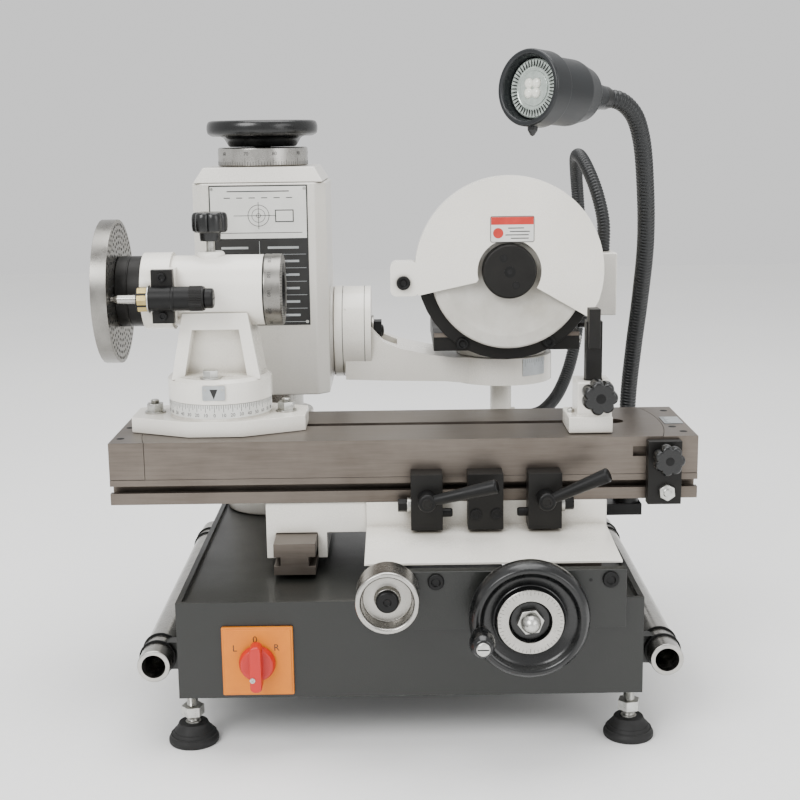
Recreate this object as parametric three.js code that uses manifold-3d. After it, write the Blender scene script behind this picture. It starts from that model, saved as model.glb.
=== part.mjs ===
// Bench-top universal tool and cutter grinder, millimetres, +Z up, operator side towards -Y.
// Every piece is placed from the machine's own datum: X = 0 in the middle of the base,
// Y = 0 on the base's front wall, Z = 0 on the bench. The whole group is then moved so that its
// origin is the bottom centre of the machine's bounding box.

import * as THREE from 'three';
import { mergeVertices } from 'three/addons/utils/BufferGeometryUtils.js';
import Module from 'manifold-3d';

const wasm = await Module();
wasm.setup();

// ---------------------------------------------------------------- driving dimensions

const GAP = 0.3;                 // clearance between pieces that touch
const ORIGIN = [-7.75, 164, 0];  // bottom centre of the bounding box, from the machine's datum

const BASE = { halfWidth: 193.5, depth: 400, bottom: 50, deck: 129.4, rim: 133.4, wall: 4.5 };
const FOOT = { x: 187, front: 27, rear: 373, padRadius: 21.5, topRadius: 12.5, padHeight: 18 };
const TUBE = { x: 215, z: 76, outer: 14, inner: 10, front: 6, rear: 394 };
const FRONT_PLATE = { left: -37, right: 177, bottom: 111.7, top: 161, thick: 10 };
const SWITCH = { x: -126.5, z: 83.3, size: 59, knobRadius: 15.5, barHalf: 20 };
const KNOB = { x: -18, z: 146.5, radius: 26, face: -45 };
const WHEEL = { x: 96, z: 127.4, radius: 49, face: -41, handleX: 56, handleZ: 119, handleEnd: -76 };
const RAIL = { y0: 68.5, y1: 245, bottom: 133.7, top: 161.9, width: 36.6, leftX: -99.5, rightX: 150 };
const SADDLE = { left: -126.5, right: 177, front: 101, rear: 236, bottom: 162.3, top: 189.9 };
const TABLE = {
  left: -263.5, right: 256.5, front: 98.75, rear: 228.75, bottom: 190.6, joint: 213, top: 246.7,
};
const SWIVEL = { x: -3.5, y: 163.75, radius: 237.5 };
const STOPS = {
  bottom: 170, top: 220, front: 77, pivotZ: 198.4,
  left: [2.5, 30.3], middle: [52.3, 83.2], right: [105, 134.3],
};
const CLAMP = { screw: 4, hole: 4.4 };   // radii of every clamp screw and of the hole it passes
const TAPER_PLATE = {
  left: 210.6, right: 240, bottom: 188, top: 244.5, front: 87, knobX: 226, knobZ: 230.8,
};
const SLOT = { y: 166, mouth: 5.5, under: 9.5, lip: 6, depth: 15 };
const PINION = { x: -18, radius: 15, outer: 16.4, teeth: 20, z: 146.5, y0: 130, y1: 146 };
const HEAD = { x: -171, y: 165, axisZ: 373.5, baseTop: 261, collarTop: 276, bore: 20, clampX: -4 };
const INDEX = { radius: 65, left: -272, right: -258, pinY: 115, pinZ: 372 };
const REST = { x: 168, y: 136, top: 292, knobZ: 283.5, postTop: 345, fingerTop: 357 };
const COLUMN = { x: -140, y: 320, halfWidth: 65, halfDepth: 64, chamfer: 11, bottom: 258, top: 466 };
const PILLAR = { radius: 34, bottom: 195, top: 430, bore: 13 };
const LIFT = { capTop: 481, dialTop: 499.5, top: 526, radius: 55.5, screwBottom: 290 };
const ARM = { y: 320, z: 312.4, boss: -71, hubEnd: -34, hubRadius: 46, endX: 99, endRadius: 52 };
const HEADSTOCK = { x: 99, y: 320, low: 289.3, wheelX: 100, wheelZ: 381, wheelRadius: 75 };
const MOTOR = { radius: 60, front: 262, rear: 404 };
const GUARD = { radius: 90, notch: 30.5, plateRadius: 88, plateFront: 244, plateRear: 249.7 };
const LAMP = { x: 102.5, y: 85, z: 547, turn: -134.2, bezel: 32, length: 103 };

// route of the corrugated flexible conduit: out of the terminal box, over and down behind the motor
const CONDUIT_RADIUS = 7;
const CONDUIT_ROUTE = [
  [203, 318, 391.2], [203, 319, 420], [197, 327, 450], [189, 342, 474], [184, 362, 486],
  [183, 384, 484], [186, 404, 466], [190, 416, 436], [193, 420, 400], [194, 418, 360],
  [192, 412, 322], [187, 402, 288], [178, 388, 258], [165, 367, 236], [152, 347, 225.5],
  [140, 330, 221.3], [127, 320.6, 220.5], [114.3, 320, 220.5],
];

// centre line of the lamp's corrugated gooseneck, from its bracket up to the lamp's rear joint
const NECK_RADIUS = 8.3;
const NECK_ROUTE = [
  [228, 304, 141], [228.2, 300, 239.6], [229.6, 284, 293], [231.2, 260, 349.5], [230.3, 232, 404.6],
  [224.9, 208, 455.6], [215.6, 185, 505], [205.7, 173, 526.2], [192.4, 166, 537], [181.5, 163.6, 539],
];

// ---------------------------------------------------------------- finishes

const FINISH = {
  enamel: { color: 0xe9e6de, roughness: 0.3, metalness: 0 },
  green: { color: 0x3b3c38, roughness: 0.45, metalness: 0.1 },
  ground: { color: 0x8d8882, roughness: 0.38, metalness: 0.9 },
  steel: { color: 0xb9b8b4, roughness: 0.3, metalness: 1 },
  black: { color: 0x4a4945, roughness: 0.45, metalness: 0.8 },
  plastic: { color: 0x17181a, roughness: 0.3, metalness: 0 },
  rubber: { color: 0x141414, roughness: 0.85, metalness: 0 },
  yellow: { color: 0xe8a23a, roughness: 0.5, metalness: 0 },
  red: { color: 0xe0301a, roughness: 0.4, metalness: 0 },
  abrasive: { color: 0xd8d6d0, roughness: 0.9, metalness: 0 },
  lamp: { color: 0x2c3338, roughness: 0.4, metalness: 0.2 },
};

// ---------------------------------------------------------------- solid building

function solidOf(geometry) {
  const bare = geometry.index ? geometry.toNonIndexed() : geometry.clone();
  bare.deleteAttribute('normal');
  bare.deleteAttribute('uv');
  const merged = mergeVertices(bare, 1e-4);
  return new wasm.Manifold(new wasm.Mesh({
    numProp: 3,
    vertProperties: new Float32Array(merged.attributes.position.array),
    triVerts: new Uint32Array(merged.index.array),
  }));
}

function geometryOf(solid) {
  const mesh = solid.getMesh();
  const geometry = new THREE.BufferGeometry();
  geometry.setAttribute('position', new THREE.BufferAttribute(mesh.vertProperties, 3));
  geometry.setIndex(new THREE.BufferAttribute(mesh.triVerts, 1));
  geometry.computeVertexNormals();
  return geometry;
}

const join = (first, ...others) => others.reduce((sum, other) => sum.add(other), first);
const cut = (first, ...others) => others.reduce((rest, other) => rest.subtract(other), first);

// a box between two corners
function box(x0, x1, y0, y1, z0, z1) {
  const geometry = new THREE.BoxGeometry(x1 - x0, y1 - y0, z1 - z0);
  return solidOf(geometry.translate((x0 + x1) / 2, (y0 + y1) / 2, (z0 + z1) / 2));
}

// turns a shape made along Z so that it lies along the named axis; '-y' faces the operator
function along(geometry, axis) {
  if (axis === 'x') geometry.rotateZ(Math.PI / 2).rotateY(Math.PI / 2);
  if (axis === '-y') geometry.rotateX(Math.PI / 2);
  return geometry;
}

// a solid of revolution from [radius, height] points; an outline off the axis is closed on itself
function turned(profile, axis = 'z', at = [0, 0, 0], segments = 28) {
  const points = profile.map(([r, h]) => new THREE.Vector2(r, h));
  const onAxis = profile[0][0] === 0 && profile[profile.length - 1][0] === 0;
  if (!onAxis) points.push(points[0].clone());
  const area = THREE.ShapeUtils.area(points);
  if (area < 0) points.reverse();
  const geometry = new THREE.LatheGeometry(points, segments).rotateX(Math.PI / 2);
  return solidOf(along(geometry, axis).translate(...at));
}

// a plain cylinder from height h0 to h1 along its axis
function rod(radius, h0, h1, axis = 'z', at = [0, 0, 0], segments = 20) {
  return turned([[0, h0], [radius, h0], [radius, h1], [0, h1]], axis, at, segments);
}

// an outline in two coordinates pushed along the third
function prism(outline, h0, h1, axis = 'z', at = [0, 0, 0], curveSegments = 5) {
  const shape = outline instanceof THREE.Shape
    ? outline : new THREE.Shape(outline.map(([a, b]) => new THREE.Vector2(a, b)));
  const options = { depth: h1 - h0, bevelEnabled: false, curveSegments };
  const geometry = new THREE.ExtrudeGeometry(shape, options).translate(0, 0, h0);
  return solidOf(along(geometry, axis).translate(...at));
}

// a rounded rectangle centred on (x, y)
function roundedRect(x, y, width, height, radius) {
  const shape = new THREE.Shape();
  const [w, h] = [width / 2, height / 2];
  shape.moveTo(x - w + radius, y - h);
  shape.lineTo(x + w - radius, y - h);
  shape.absarc(x + w - radius, y - h + radius, radius, -Math.PI / 2, 0);
  shape.absarc(x + w - radius, y + h - radius, radius, 0, Math.PI / 2);
  shape.absarc(x - w + radius, y + h - radius, radius, Math.PI / 2, Math.PI);
  shape.absarc(x - w + radius, y - h + radius, radius, Math.PI, 1.5 * Math.PI);
  return shape;
}

// a lobed outline: count lobes between the inner and the outer radius
function lobed(inner, outer, count, steps = 36) {
  const points = [];
  for (let i = 0; i < steps; i += 1) {
    const angle = (i / steps) * 2 * Math.PI;
    const radius = inner + (outer - inner) * Math.abs(Math.cos((count * angle) / 2));
    points.push([radius * Math.cos(angle), radius * Math.sin(angle)]);
  }
  return points;
}

// a round bar along a smooth curve
function sweep(route, radius, sides, steps) {
  const curve = new THREE.CatmullRomCurve3(route.map((p) => new THREE.Vector3(...p)), false, 'centripetal');
  const section = new THREE.Shape();
  for (let i = 0; i < sides; i += 1) {
    const angle = (i / sides) * 2 * Math.PI;
    section[i ? 'lineTo' : 'moveTo'](radius * Math.cos(angle), radius * Math.sin(angle));
  }
  section.closePath();
  return solidOf(new THREE.ExtrudeGeometry(section, { steps, bevelEnabled: false, extrudePath: curve }));
}

// a named piece, with its place and turn in its parent's frame
function piece(name, finish, solid, { at = [0, 0, 0], turn = [0, 0, 0] } = {}) {
  const mesh = new THREE.Mesh(geometryOf(solid), new THREE.MeshStandardMaterial(FINISH[finish]));
  mesh.name = name;
  mesh.position.set(...at);
  mesh.rotation.set(...turn);
  return mesh;
}

function assembly(...children) {
  const group = new THREE.Group();
  group.add(...children);
  return group;
}

const FRONT = [Math.PI / 2, 0, 0];   // turns a piece made along Z to face the operator

// a turned piece whose profile heights are measured towards the operator from the front wall
function frontTurned(name, finish, profile, { x, z }, segments = 30) {
  return piece(name, finish, turned(profile, 'z', [0, 0, 0], segments), { at: [x, 0, z], turn: FRONT });
}

// ---------------------------------------------------------------- base

function baseCabinet() {
  const { halfWidth: w, depth, bottom, deck, rim, wall } = BASE;
  const shell = box(-w, w, 0, depth, bottom, rim);
  const tray = box(-w + wall, w - wall, wall, depth - wall, deck, rim + 1);
  const hollow = box(-w + wall, w - wall, wall, depth - wall, bottom - 1, deck - wall);
  let body = cut(shell, tray, hollow);
  for (const side of [-1, 1]) {
    for (const y of [FOOT.front, FOOT.rear]) {
      const [x0, x1] = side < 0 ? [-w + 1, -w + 40] : [w - 40, w - 1];
      body = join(body, box(x0, x1, y - 20, y + 20, bottom, bottom + 10));
      body = cut(body, rod(5.3, bottom - 1, bottom + 9, 'z', [side * FOOT.x, y, 0]));
    }
    for (const y of [TUBE.front + 24, TUBE.rear - 44]) {
      const [x0, x1] = side < 0 ? [-TUBE.x, -w + 1] : [w - 1, TUBE.x];
      const bracket = box(x0, x1, y, y + 12, TUBE.z - 12, TUBE.z + 12);
      const clearance = rod(TUBE.outer + GAP, -y - 20, -y + 10, '-y', [side * TUBE.x, 0, TUBE.z], 20);
      body = join(body, cut(bracket, clearance));
    }
  }
  const screwHole = rod(8.5, -wall - 1, 1, '-y', [WHEEL.x, 0, WHEEL.z]);
  const slot = box(WHEEL.x - 12, WHEEL.x + 12, wall - 0.1, RAIL.y1, deck - wall - 1, deck + 1);
  return piece('base_cabinet', 'green', cut(body, screwHole, slot));
}

function levellingFoot(name, x, y) {
  const { padRadius, topRadius, padHeight } = FOOT;
  const profile = [
    [0, 0], [padRadius, 0], [padRadius, 4], [topRadius, padHeight], [6, padHeight], [6, 24],
    [10, 24], [10, 33], [5, 33], [5, 58], [0, 58],
  ];
  return piece(name, 'rubber', turned(profile, 'z', [0, 0, 0], 18), { at: [x, y, 0] });
}

function liftingTube(name, side) {
  const { outer, inner, front, rear } = TUBE;
  const ring = [[inner, -rear], [outer, -rear], [outer, -front], [inner, -front]];
  return frontTurned(name, 'steel', ring, { x: side * TUBE.x, z: TUBE.z }, 26);
}

function frontPlate() {
  const { left, right, bottom, top, thick } = FRONT_PLATE;
  const plate = box(left, right, -thick, -GAP, bottom, top);
  const shaft = rod(8, -1, thick + 1, '-y', [KNOB.x, 0, KNOB.z]);
  const screw = rod(8.5, -1, thick + 1, '-y', [WHEEL.x, 0, WHEEL.z]);
  const block = box(KNOB.x - 13, KNOB.x + 13, -GAP - 1, 30, BASE.rim + GAP, top);
  const blockBore = rod(8, -31, 2, '-y', [KNOB.x, 0, KNOB.z]);
  return piece('front_plate', 'green', cut(join(plate, block), shaft, screw, blockBore));
}

function crossRail(name, x) {
  const { y0, y1, bottom, top, width } = RAIL;
  const rail = box(x - width / 2, x + width / 2, y0, y1, bottom, top);
  const left = box(x - width / 2 - 1, x - width / 2 + 6, y0 - 1, y1 + 1, bottom + 8, bottom + 16);
  const right = left.mirror([1, 0, 0]).translate([2 * x, 0, 0]);
  return piece(name, 'ground', cut(rail, left, right));
}

function columnPedestal() {
  const { x, y } = COLUMN;
  const deck = BASE.deck + GAP;
  const profile = [[0, deck], [47.5, deck], [47.5, deck + 14], [44, deck + 20], [44, 232], [0, 232]];
  const socket = rod(PILLAR.radius + GAP, PILLAR.bottom - GAP, 240, 'z', [0, 0, 0], 26);
  return piece('column_pedestal', 'enamel', cut(turned(profile), socket), { at: [x, y, 0] });
}

function columnPillar() {
  const { radius, bottom, top, bore } = PILLAR;
  const thread = 8.4;
  const profile = [
    [0, bottom], [radius, bottom], [radius, top], [thread, top], [thread, top - 26], [bore, top - 26],
    [bore, 215], [0, 215],
  ];
  return piece('column_pillar', 'steel', turned(profile), { at: [COLUMN.x, COLUMN.y, 0] });
}

function lampBracket() {
  const w = BASE.halfWidth + GAP;
  const plate = box(w, w + 6, 284, 324, 96, 132);
  const shelf = box(w, 243, 290, 318, 120, 132);
  const boss = rod(13, 120, 152, 'z', [228, 304, 0]);
  const socket = rod(NECK_RADIUS + 0.9, 140, 160, 'z', [228, 304, 0]);
  return piece('lamp_bracket', 'black', cut(join(plate, shelf, boss), socket));
}

function lampNeck() {
  return piece('lamp_neck', 'rubber', sweep(NECK_ROUTE, NECK_RADIUS, 8, 28));
}

// the lamp is made along Z, its glass at the top, and then turned towards the wheel and the table
function lampHead() {
  const { bezel, length } = LAMP;
  const profile = [
    [0, -length], [11, -length], [13, -length + 14], [24, -length + 30], [28.5, -length + 48],
    [28.5, -22], [bezel, -20], [bezel, 0], [27, 0], [25, -12], [0, -12],
  ];
  const nub = turned([[0, -9], [4.5, -9], [4.5, 0], [0, 9]], 'x', [bezel - 1, 0, -10], 16);
  const shell = join(turned(profile, 'z', [0, 0, 0], 26), nub);
  return piece('lamp_head', 'lamp', shell);
}

function lamp() {
  const group = assembly(lampHead());
  group.position.set(LAMP.x, LAMP.y, LAMP.z);
  group.rotation.set(0, THREE.MathUtils.degToRad(86), THREE.MathUtils.degToRad(LAMP.turn), 'ZYX');
  return group;
}

function base() {
  const group = assembly(baseCabinet(), frontPlate(), columnPedestal(), columnPillar());
  for (const [end, y] of [['front', FOOT.front], ['rear', FOOT.rear]]) {
    group.add(levellingFoot(`foot_${end}_left`, -FOOT.x, y));
    group.add(levellingFoot(`foot_${end}_right`, FOOT.x, y));
  }
  group.add(liftingTube('lifting_tube_left', -1), liftingTube('lifting_tube_right', 1));
  group.add(crossRail('cross_rail_left', RAIL.leftX), crossRail('cross_rail_right', RAIL.rightX));
  group.add(lampBracket(), lampNeck(), lamp());
  return group;
}

// ---------------------------------------------------------------- controls on the front

function switchParts() {
  const { x, z, size, knobRadius, barHalf } = SWITCH;
  const plate = prism(roundedRect(0, 0, size, size, 3), GAP, 6);
  const neckHole = rod(6, -1, 8, 'z', [0, 0, 0], 16);
  const bar = prism(roundedRect(0, 0, 10, 2 * barHalf, 3), 12, 24);
  const knob = join(rod(knobRadius, 6.3, 14), bar, rod(5, 0.6, 8));
  const at = [x, 0, z];
  return assembly(
    piece('switch_plate', 'yellow', cut(plate, neckHole), { at, turn: FRONT }),
    piece('switch_knob', 'red', knob, { at, turn: FRONT }),
  );
}

function traverseKnob() {
  const face = -KNOB.face;
  const rear = FRONT_PLATE.thick + GAP;
  const profile = [
    [0, -182], [6, -182], [6, rear], [12, rear], [12, rear + 2], [KNOB.radius, rear + 4],
    [KNOB.radius, face],
    [21, face], [20, face - 14], [10, face - 14], [10, face - 8], [0, face - 8],
  ];
  return frontTurned('traverse_knob', 'steel', profile, KNOB);
}

function feedHandwheel() {
  const { radius, x, z, handleX, handleZ } = WHEEL;
  const face = -WHEEL.face;
  const rear = FRONT_PLATE.thick + 3;
  const profile = [
    [8, rear + 3], [26, rear], [30, rear + 10], [radius - 9, rear + 10], [radius - 2, rear + 12],
    [radius, face - 8], [radius - 5, face], [radius - 12, face - 6], [28, face - 9], [27, face - 2],
    [17, face - 2], [16, face - 8], [8, face - 8],
  ];
  const seat = rod(6.3, rear - 1, face + 2, 'z', [handleX - x, handleZ - z, 0], 20);
  const solid = cut(turned(profile, 'z', [0, 0, 0], 30), seat);
  return piece('feed_handwheel', 'plastic', solid, { at: [x, 0, z], turn: FRONT });
}

function feedScrew() {
  const face = -WHEEL.face;
  const profile = [
    [0, -240], [6, -240], [6, FRONT_PLATE.thick + 6], [7.7, FRONT_PLATE.thick + 6], [7.7, face - 7.6],
    [11, face - 7.6], [11, face - 1], [7, face + 6], [0, face + 10],
  ];
  return frontTurned('feed_screw', 'steel', profile, WHEEL, 26);
}

function handwheelHandle() {
  const end = -WHEEL.handleEnd;
  const profile = [[0, 17], [6, 17], [6, 41.5], [8, 45], [10.5, 60], [9, 70], [6, end], [0, end]];
  return frontTurned('handwheel_handle', 'plastic', profile, { x: WHEEL.handleX, z: WHEEL.handleZ }, 16);
}

// ---------------------------------------------------------------- saddle

function saddle() {
  const { left, right, front, rear, bottom, top } = SADDLE;
  let body = box(left, right, front, rear, bottom, top);
  for (const x of [RAIL.leftX, RAIL.rightX]) {
    const [inner, outer, gibBottom] = [RAIL.width / 2 + GAP, 27, 139];
    body = join(body, box(x - outer, x + outer, front, rear, gibBottom, bottom + 1));
    body = cut(body, box(x - inner, x + inner, front - 1, rear + 1, gibBottom - 1, bottom));
  }
  const nut = box(WHEEL.x - 11, WHEEL.x + 11, 170, 200, 112, bottom + 1);
  const bearing = box(PINION.x - 20, PINION.x + 20, 150, 175, 133, bottom + 1);
  const pinionRoom = rod(PINION.outer + 1, -PINION.y1 - 1, -PINION.y0 + 1, '-y', [PINION.x, 0, PINION.z]);
  body = cut(join(body, nut, bearing), pinionRoom);
  const rackRoom = box(PINION.x - 70, PINION.x + 70, PINION.y0 - 2, PINION.y1 + 2, 155, top + 1);
  const screwBore = rod(6.4, -260, -100, '-y', [WHEEL.x, 0, WHEEL.z]);
  const shaftBore = rod(6.4, -260, -90, '-y', [KNOB.x, 0, KNOB.z]);
  return piece('saddle', 'enamel', cut(body, rackRoom, screwBore, shaftBore));
}

// a bent sheet: a standing flange in front of the table and a flat cover reaching the front plate
function splashShield() {
  const outline = [[100.7, 190.2], [99, 190.2], [99, 168], [6, 163.5], [6, 161.5], [100.7, 166]];
  const sheet = prism(outline, FRONT_PLATE.left, 176, 'x');
  return piece('splash_shield', 'enamel', sheet);
}

function traversePinion() {
  const { teeth, radius, outer, y0, y1 } = PINION;
  const points = [];
  for (let i = 0; i < teeth; i += 1) {
    for (const [share, r] of [[0.06, outer], [0.36, outer], [0.56, radius - 1.9], [0.9, radius - 1.9]]) {
      const angle = ((i + share - 0.21) / teeth) * 2 * Math.PI;
      points.push([r * Math.cos(angle), r * Math.sin(angle)]);
    }
  }
  const bore = rod(6.3, -y1 - 1, -y0 + 1);
  const gear = cut(prism(points, -y1, -y0), bore);
  return piece('traverse_pinion', 'steel', gear, { at: [PINION.x, 0, PINION.z], turn: FRONT });
}

// ---------------------------------------------------------------- table

// the swivelling table's ends are arcs about its pivot, so the end blocks have hollow faces
function swivelArc(radius, h0, h1) {
  return rod(radius, h0, h1, 'z', [SWIVEL.x, SWIVEL.y, 0], 120);
}

function lowerTable() {
  const { left, right, front, rear, bottom, joint } = TABLE;
  const slab = box(left, right, front, rear, bottom, joint);
  const mouth = box(left - 1, right + 1, front - 1, front + 7, 201, 207.5);
  const under = box(left - 1, right + 1, front + 6, front + 14, 197.5, 210.5);
  const pivot = rod(9, joint - 1, joint + 12, 'z', [SWIVEL.x, SWIVEL.y, 0]);
  return piece('lower_table', 'ground', join(cut(slab, mouth, under), pivot, tableRack()));
}

function endBlock(name, side) {
  const { left, right, front, rear, joint, top } = TABLE;
  const [x0, x1] = side < 0 ? [left, -200] : [200, right];
  const block = box(x0, x1, front, rear, joint + GAP, top);
  return piece(name, 'ground', cut(block, swivelArc(SWIVEL.radius + GAP, joint - 1, top + 1)));
}

function upperTable() {
  const { left, right, front, rear, joint, top } = TABLE;
  const round = swivelArc(SWIVEL.radius, joint, top + 1);
  const slab = box(left, right, front, rear, joint + GAP, top).intersect(round);
  const { y, mouth, under, lip, depth } = SLOT;
  const slotEnd = 191;
  const slot = box(left - 1, slotEnd, y - mouth, y + mouth, top - lip - 1, top + 1);
  const tee = box(left - 1, slotEnd, y - under, y + under, top - depth, top - lip);
  const entry = rod(10, top - depth, top + 1, 'z', [slotEnd, y, 0]);
  const pivotBore = rod(9.3, joint - 1, joint + 12.5, 'z', [SWIVEL.x, SWIVEL.y, 0]);
  const plateSlot = box(199, 214, front - 1, front + 8, 229, 238);
  return piece('upper_table', 'ground', cut(slab, slot, tee, entry, pivotBore, plateSlot));
}

function tableRack() {
  const { x, z, radius, y0, y1 } = PINION;
  const pitch = (2 * Math.PI * radius) / PINION.teeth;
  const count = 16;
  const line = z + radius;
  const outline = [];
  for (let i = 0; i < count; i += 1) {
    const start = x + (i - count / 2) * pitch;
    for (const [share, dz] of [[0, 1.9], [0.31, 1.9], [0.43, -1.4], [0.57, -1.4], [0.69, 1.9]]) {
      outline.push([start + share * pitch, line + dz]);
    }
  }
  const end = x + (count / 2) * pitch;
  outline.push([end, line + 1.9], [end, TABLE.bottom + 1], [x - (count / 2) * pitch, TABLE.bottom + 1]);
  return prism(outline, -y1, -y0, '-y');
}

function stopBlock(name, [x0, x1], tipSide) {
  const { bottom, top, front } = STOPS;
  const rear = TABLE.front - GAP;
  let block = box(x0, x1, front, rear, bottom, top);
  if (tipSide !== 0) {
    const [inner, outer] = tipSide > 0 ? [x1, x0] : [x0, x1];
    const span = (a, b) => [Math.min(a, b), Math.max(a, b)];
    const tip = rod(4, ...span(inner - tipSide, inner + 9 * tipSide), 'x', [0, 88, 183], 16);
    const screw = rod(6, ...span(outer - 11.5 * tipSide, outer + tipSide), 'x', [0, 88, 190], 6);
    const seat = rod(CLAMP.hole, -rear - 1, -front + 1, '-y', [(x0 + x1) / 2, 0, STOPS.pivotZ], 20);
    block = cut(join(block, tip, screw), seat);
  }
  return piece(name, 'black', block);
}

// a tapered round bar between two points
function bar(from, to, r0, r1, sides = 12) {
  const [a, b] = [new THREE.Vector3(...from), new THREE.Vector3(...to)];
  const direction = b.clone().sub(a);
  const geometry = new THREE.CylinderGeometry(r1, r0, direction.length(), sides);
  const up = new THREE.Vector3(0, 1, 0);
  geometry.applyQuaternion(new THREE.Quaternion().setFromUnitVectors(up, direction.normalize()));
  return solidOf(geometry.translate(...a.add(b).multiplyScalar(0.5).toArray()));
}

function clampLever(name, [x0, x1], reachX, reachZ) {
  const hub = rod(8, -STOPS.front + GAP, -60);
  const screw = rod(CLAMP.screw, -TABLE.front + GAP, -STOPS.front + 2, 'z', [0, 0, 0], 16);
  const arm = bar([3, 1, -66], [reachX, reachZ, -52], 4.5, 6.5);
  return piece(name, 'black', join(hub, screw, arm), { at: [(x0 + x1) / 2, 0, STOPS.pivotZ], turn: FRONT });
}

function taperPlate() {
  const { left, right, bottom, top, front, knobX, knobZ } = TAPER_PLATE;
  const plate = box(left, right, front, TABLE.front - GAP, bottom, top);
  const hole = rod(CLAMP.hole, -TABLE.front - 1, -front + 1, '-y', [knobX, 0, knobZ], 20);
  return piece('taper_plate', 'black', cut(plate, hole));
}

function starKnob(name, at, radius, rear, face, stem) {
  const head = prism(lobed(radius * 0.86, radius, 6), rear + 6, face);
  const screw = rod(CLAMP.screw, stem, rear + 1, 'z', [0, 0, 0], 16);
  const solid = join(head, rod(radius * 0.6, rear, rear + 7), screw);
  return piece(name, 'plastic', solid, { at, turn: FRONT });
}

function tables() {
  const taperKnobAt = [TAPER_PLATE.knobX, 0, TAPER_PLATE.knobZ];
  return assembly(
    lowerTable(),
    endBlock('end_block_left', -1),
    endBlock('end_block_right', 1),
    taperPlate(),
    starKnob('taper_knob', taperKnobAt, 14, -TAPER_PLATE.front + GAP, -69, -TABLE.front + GAP),
    upperTable(),
    stopBlock('stop_block_left', STOPS.left, 1),
    stopBlock('stop_block_right', STOPS.right, -1),
    clampLever('clamp_lever_left', STOPS.left, 60, 17.4),
    clampLever('clamp_lever_right', STOPS.right, 51.5, 26.5),
  );
}

// ---------------------------------------------------------------- work head

function headBasePlate() {
  const [ear, waist, nose] = [79, 22, 48];
  const outline = [
    [-ear, -waist], [-24, -nose], [24, -nose], [ear, -waist],
    [ear, waist], [24, nose], [-24, nose], [-ear, waist],
  ];
  const plate = prism(outline, TABLE.top + GAP, HEAD.baseTop);
  const at = [HEAD.x, HEAD.y, 0];
  const holes = [-61, 60].map((x) => rod(5.5, TABLE.top - 1, HEAD.baseTop + 1, 'z', [x, 0, 0], 20));
  const collar = rod(46.5, HEAD.baseTop - 1, HEAD.collarTop, 'z', [0, 0, 0], 30);
  return piece('head_base_plate', 'enamel', cut(join(plate, collar), ...holes), { at });
}

// cast housing: a round foot, a tapered pedestal with a bolt pocket, and the spindle barrel
function headHousing() {
  const z = HEAD.axisZ;
  const footBottom = HEAD.collarTop + GAP;
  const footProfile = [[0, footBottom], [47.5, footBottom], [47.5, 295], [44, 298], [0, 298]];
  const foot = turned(footProfile, 'z', [0, 0, 0], 30);
  const pedestal = prism([[-40, 296], [40, 296], [30, 356], [-28, 356]], -28, 28, '-y');
  const pocket = prism([[-28, 299], [28, 299], [22, 341], [-20, 341]], 8, 30, '-y');
  const barrel = rod(32, -64, 44, 'x', [0, 0, z], 28);
  const shoulder = rod(35, -64, -38, 'x', [0, 0, z], 28);
  const seat = box(-52, -32, -39, -20, 350, 397);
  const clampBoss = rod(11, z + 20, 408.5, 'z', [HEAD.clampX, 0, 0], 24);
  const bore = rod(HEAD.bore, -65, 45, 'x', [0, 0, z], 28);
  const knobHole = rod(CLAMP.hole, z + 22, 410, 'z', [HEAD.clampX, 0, 0], 20);
  const solid = cut(join(foot, pedestal, barrel, shoulder, seat, clampBoss), pocket, bore, knobHole);
  return piece('head_housing', 'enamel', solid);
}

function indexPinBarrel() {
  const y = INDEX.pinY - HEAD.y;
  const z = INDEX.pinZ;
  const bracket = box(-51, -32, y + 2, y + 10.7, 350, 397);
  const barrel = turned([[4.3, -63], [10.5, -63], [10.5, -4], [4.3, -4]], 'x', [0, y, z], 18);
  const bore = rod(CLAMP.hole, -64, -3, 'x', [0, y, z], 20);
  return piece('index_pin_barrel', 'black', cut(join(bracket, barrel), bore));
}

function indexPlunger() {
  const y = INDEX.pinY - HEAD.y;
  const tip = INDEX.right - HEAD.x + 0.5;
  const profile = [[0, tip], [2, tip], [4, tip + 6], [4, -3.6], [9, -3.6], [9, 4], [0, 4]];
  return piece('index_plunger', 'steel', turned(profile, 'x', [0, y, INDEX.pinZ], 24));
}

function headSpindle() {
  const hub = INDEX.right - HEAD.x + GAP;
  const profile = [
    [0, hub - 10], [15.7, hub - 10], [15.7, hub], [32, hub], [32, -64 - GAP], [HEAD.bore - GAP, -64 - GAP],
    [HEAD.bore - GAP, 44 + GAP], [32, 44 + GAP], [32, 61], [16, 61], [14, 0], [0, 0],
  ];
  return piece('head_spindle', 'black', turned(profile, 'x', [0, 0, HEAD.axisZ], 28));
}

function indexPlate() {
  const [x0, x1] = [INDEX.left - HEAD.x, INDEX.right - HEAD.x];
  const ring = [[16, x0], [INDEX.radius, x0], [INDEX.radius, x1], [16, x1]];
  const hole = rod(2.4, x0 - 1, x1 + 1, 'x', [0, INDEX.pinY - HEAD.y, INDEX.pinZ], 12);
  return piece('index_plate', 'steel', cut(turned(ring, 'x', [0, 0, HEAD.axisZ], 36), hole));
}

function headClampKnob() {
  const stem = rod(CLAMP.screw, 398, 419, 'z', [0, 0, 0], 16);
  const solid = join(prism(lobed(13.5, 16.5, 6), 424, 444), rod(9, 418, 425), stem);
  return piece('head_clamp_knob', 'plastic', solid, { at: [HEAD.clampX, 0, 0] });
}

function workHead() {
  const turret = assembly(
    headHousing(), indexPinBarrel(), indexPlunger(), headSpindle(), indexPlate(), headClampKnob(),
  );
  turret.position.set(HEAD.x, HEAD.y, 0);
  return assembly(headBasePlate(), turret);
}

// ---------------------------------------------------------------- tooth rest

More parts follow.
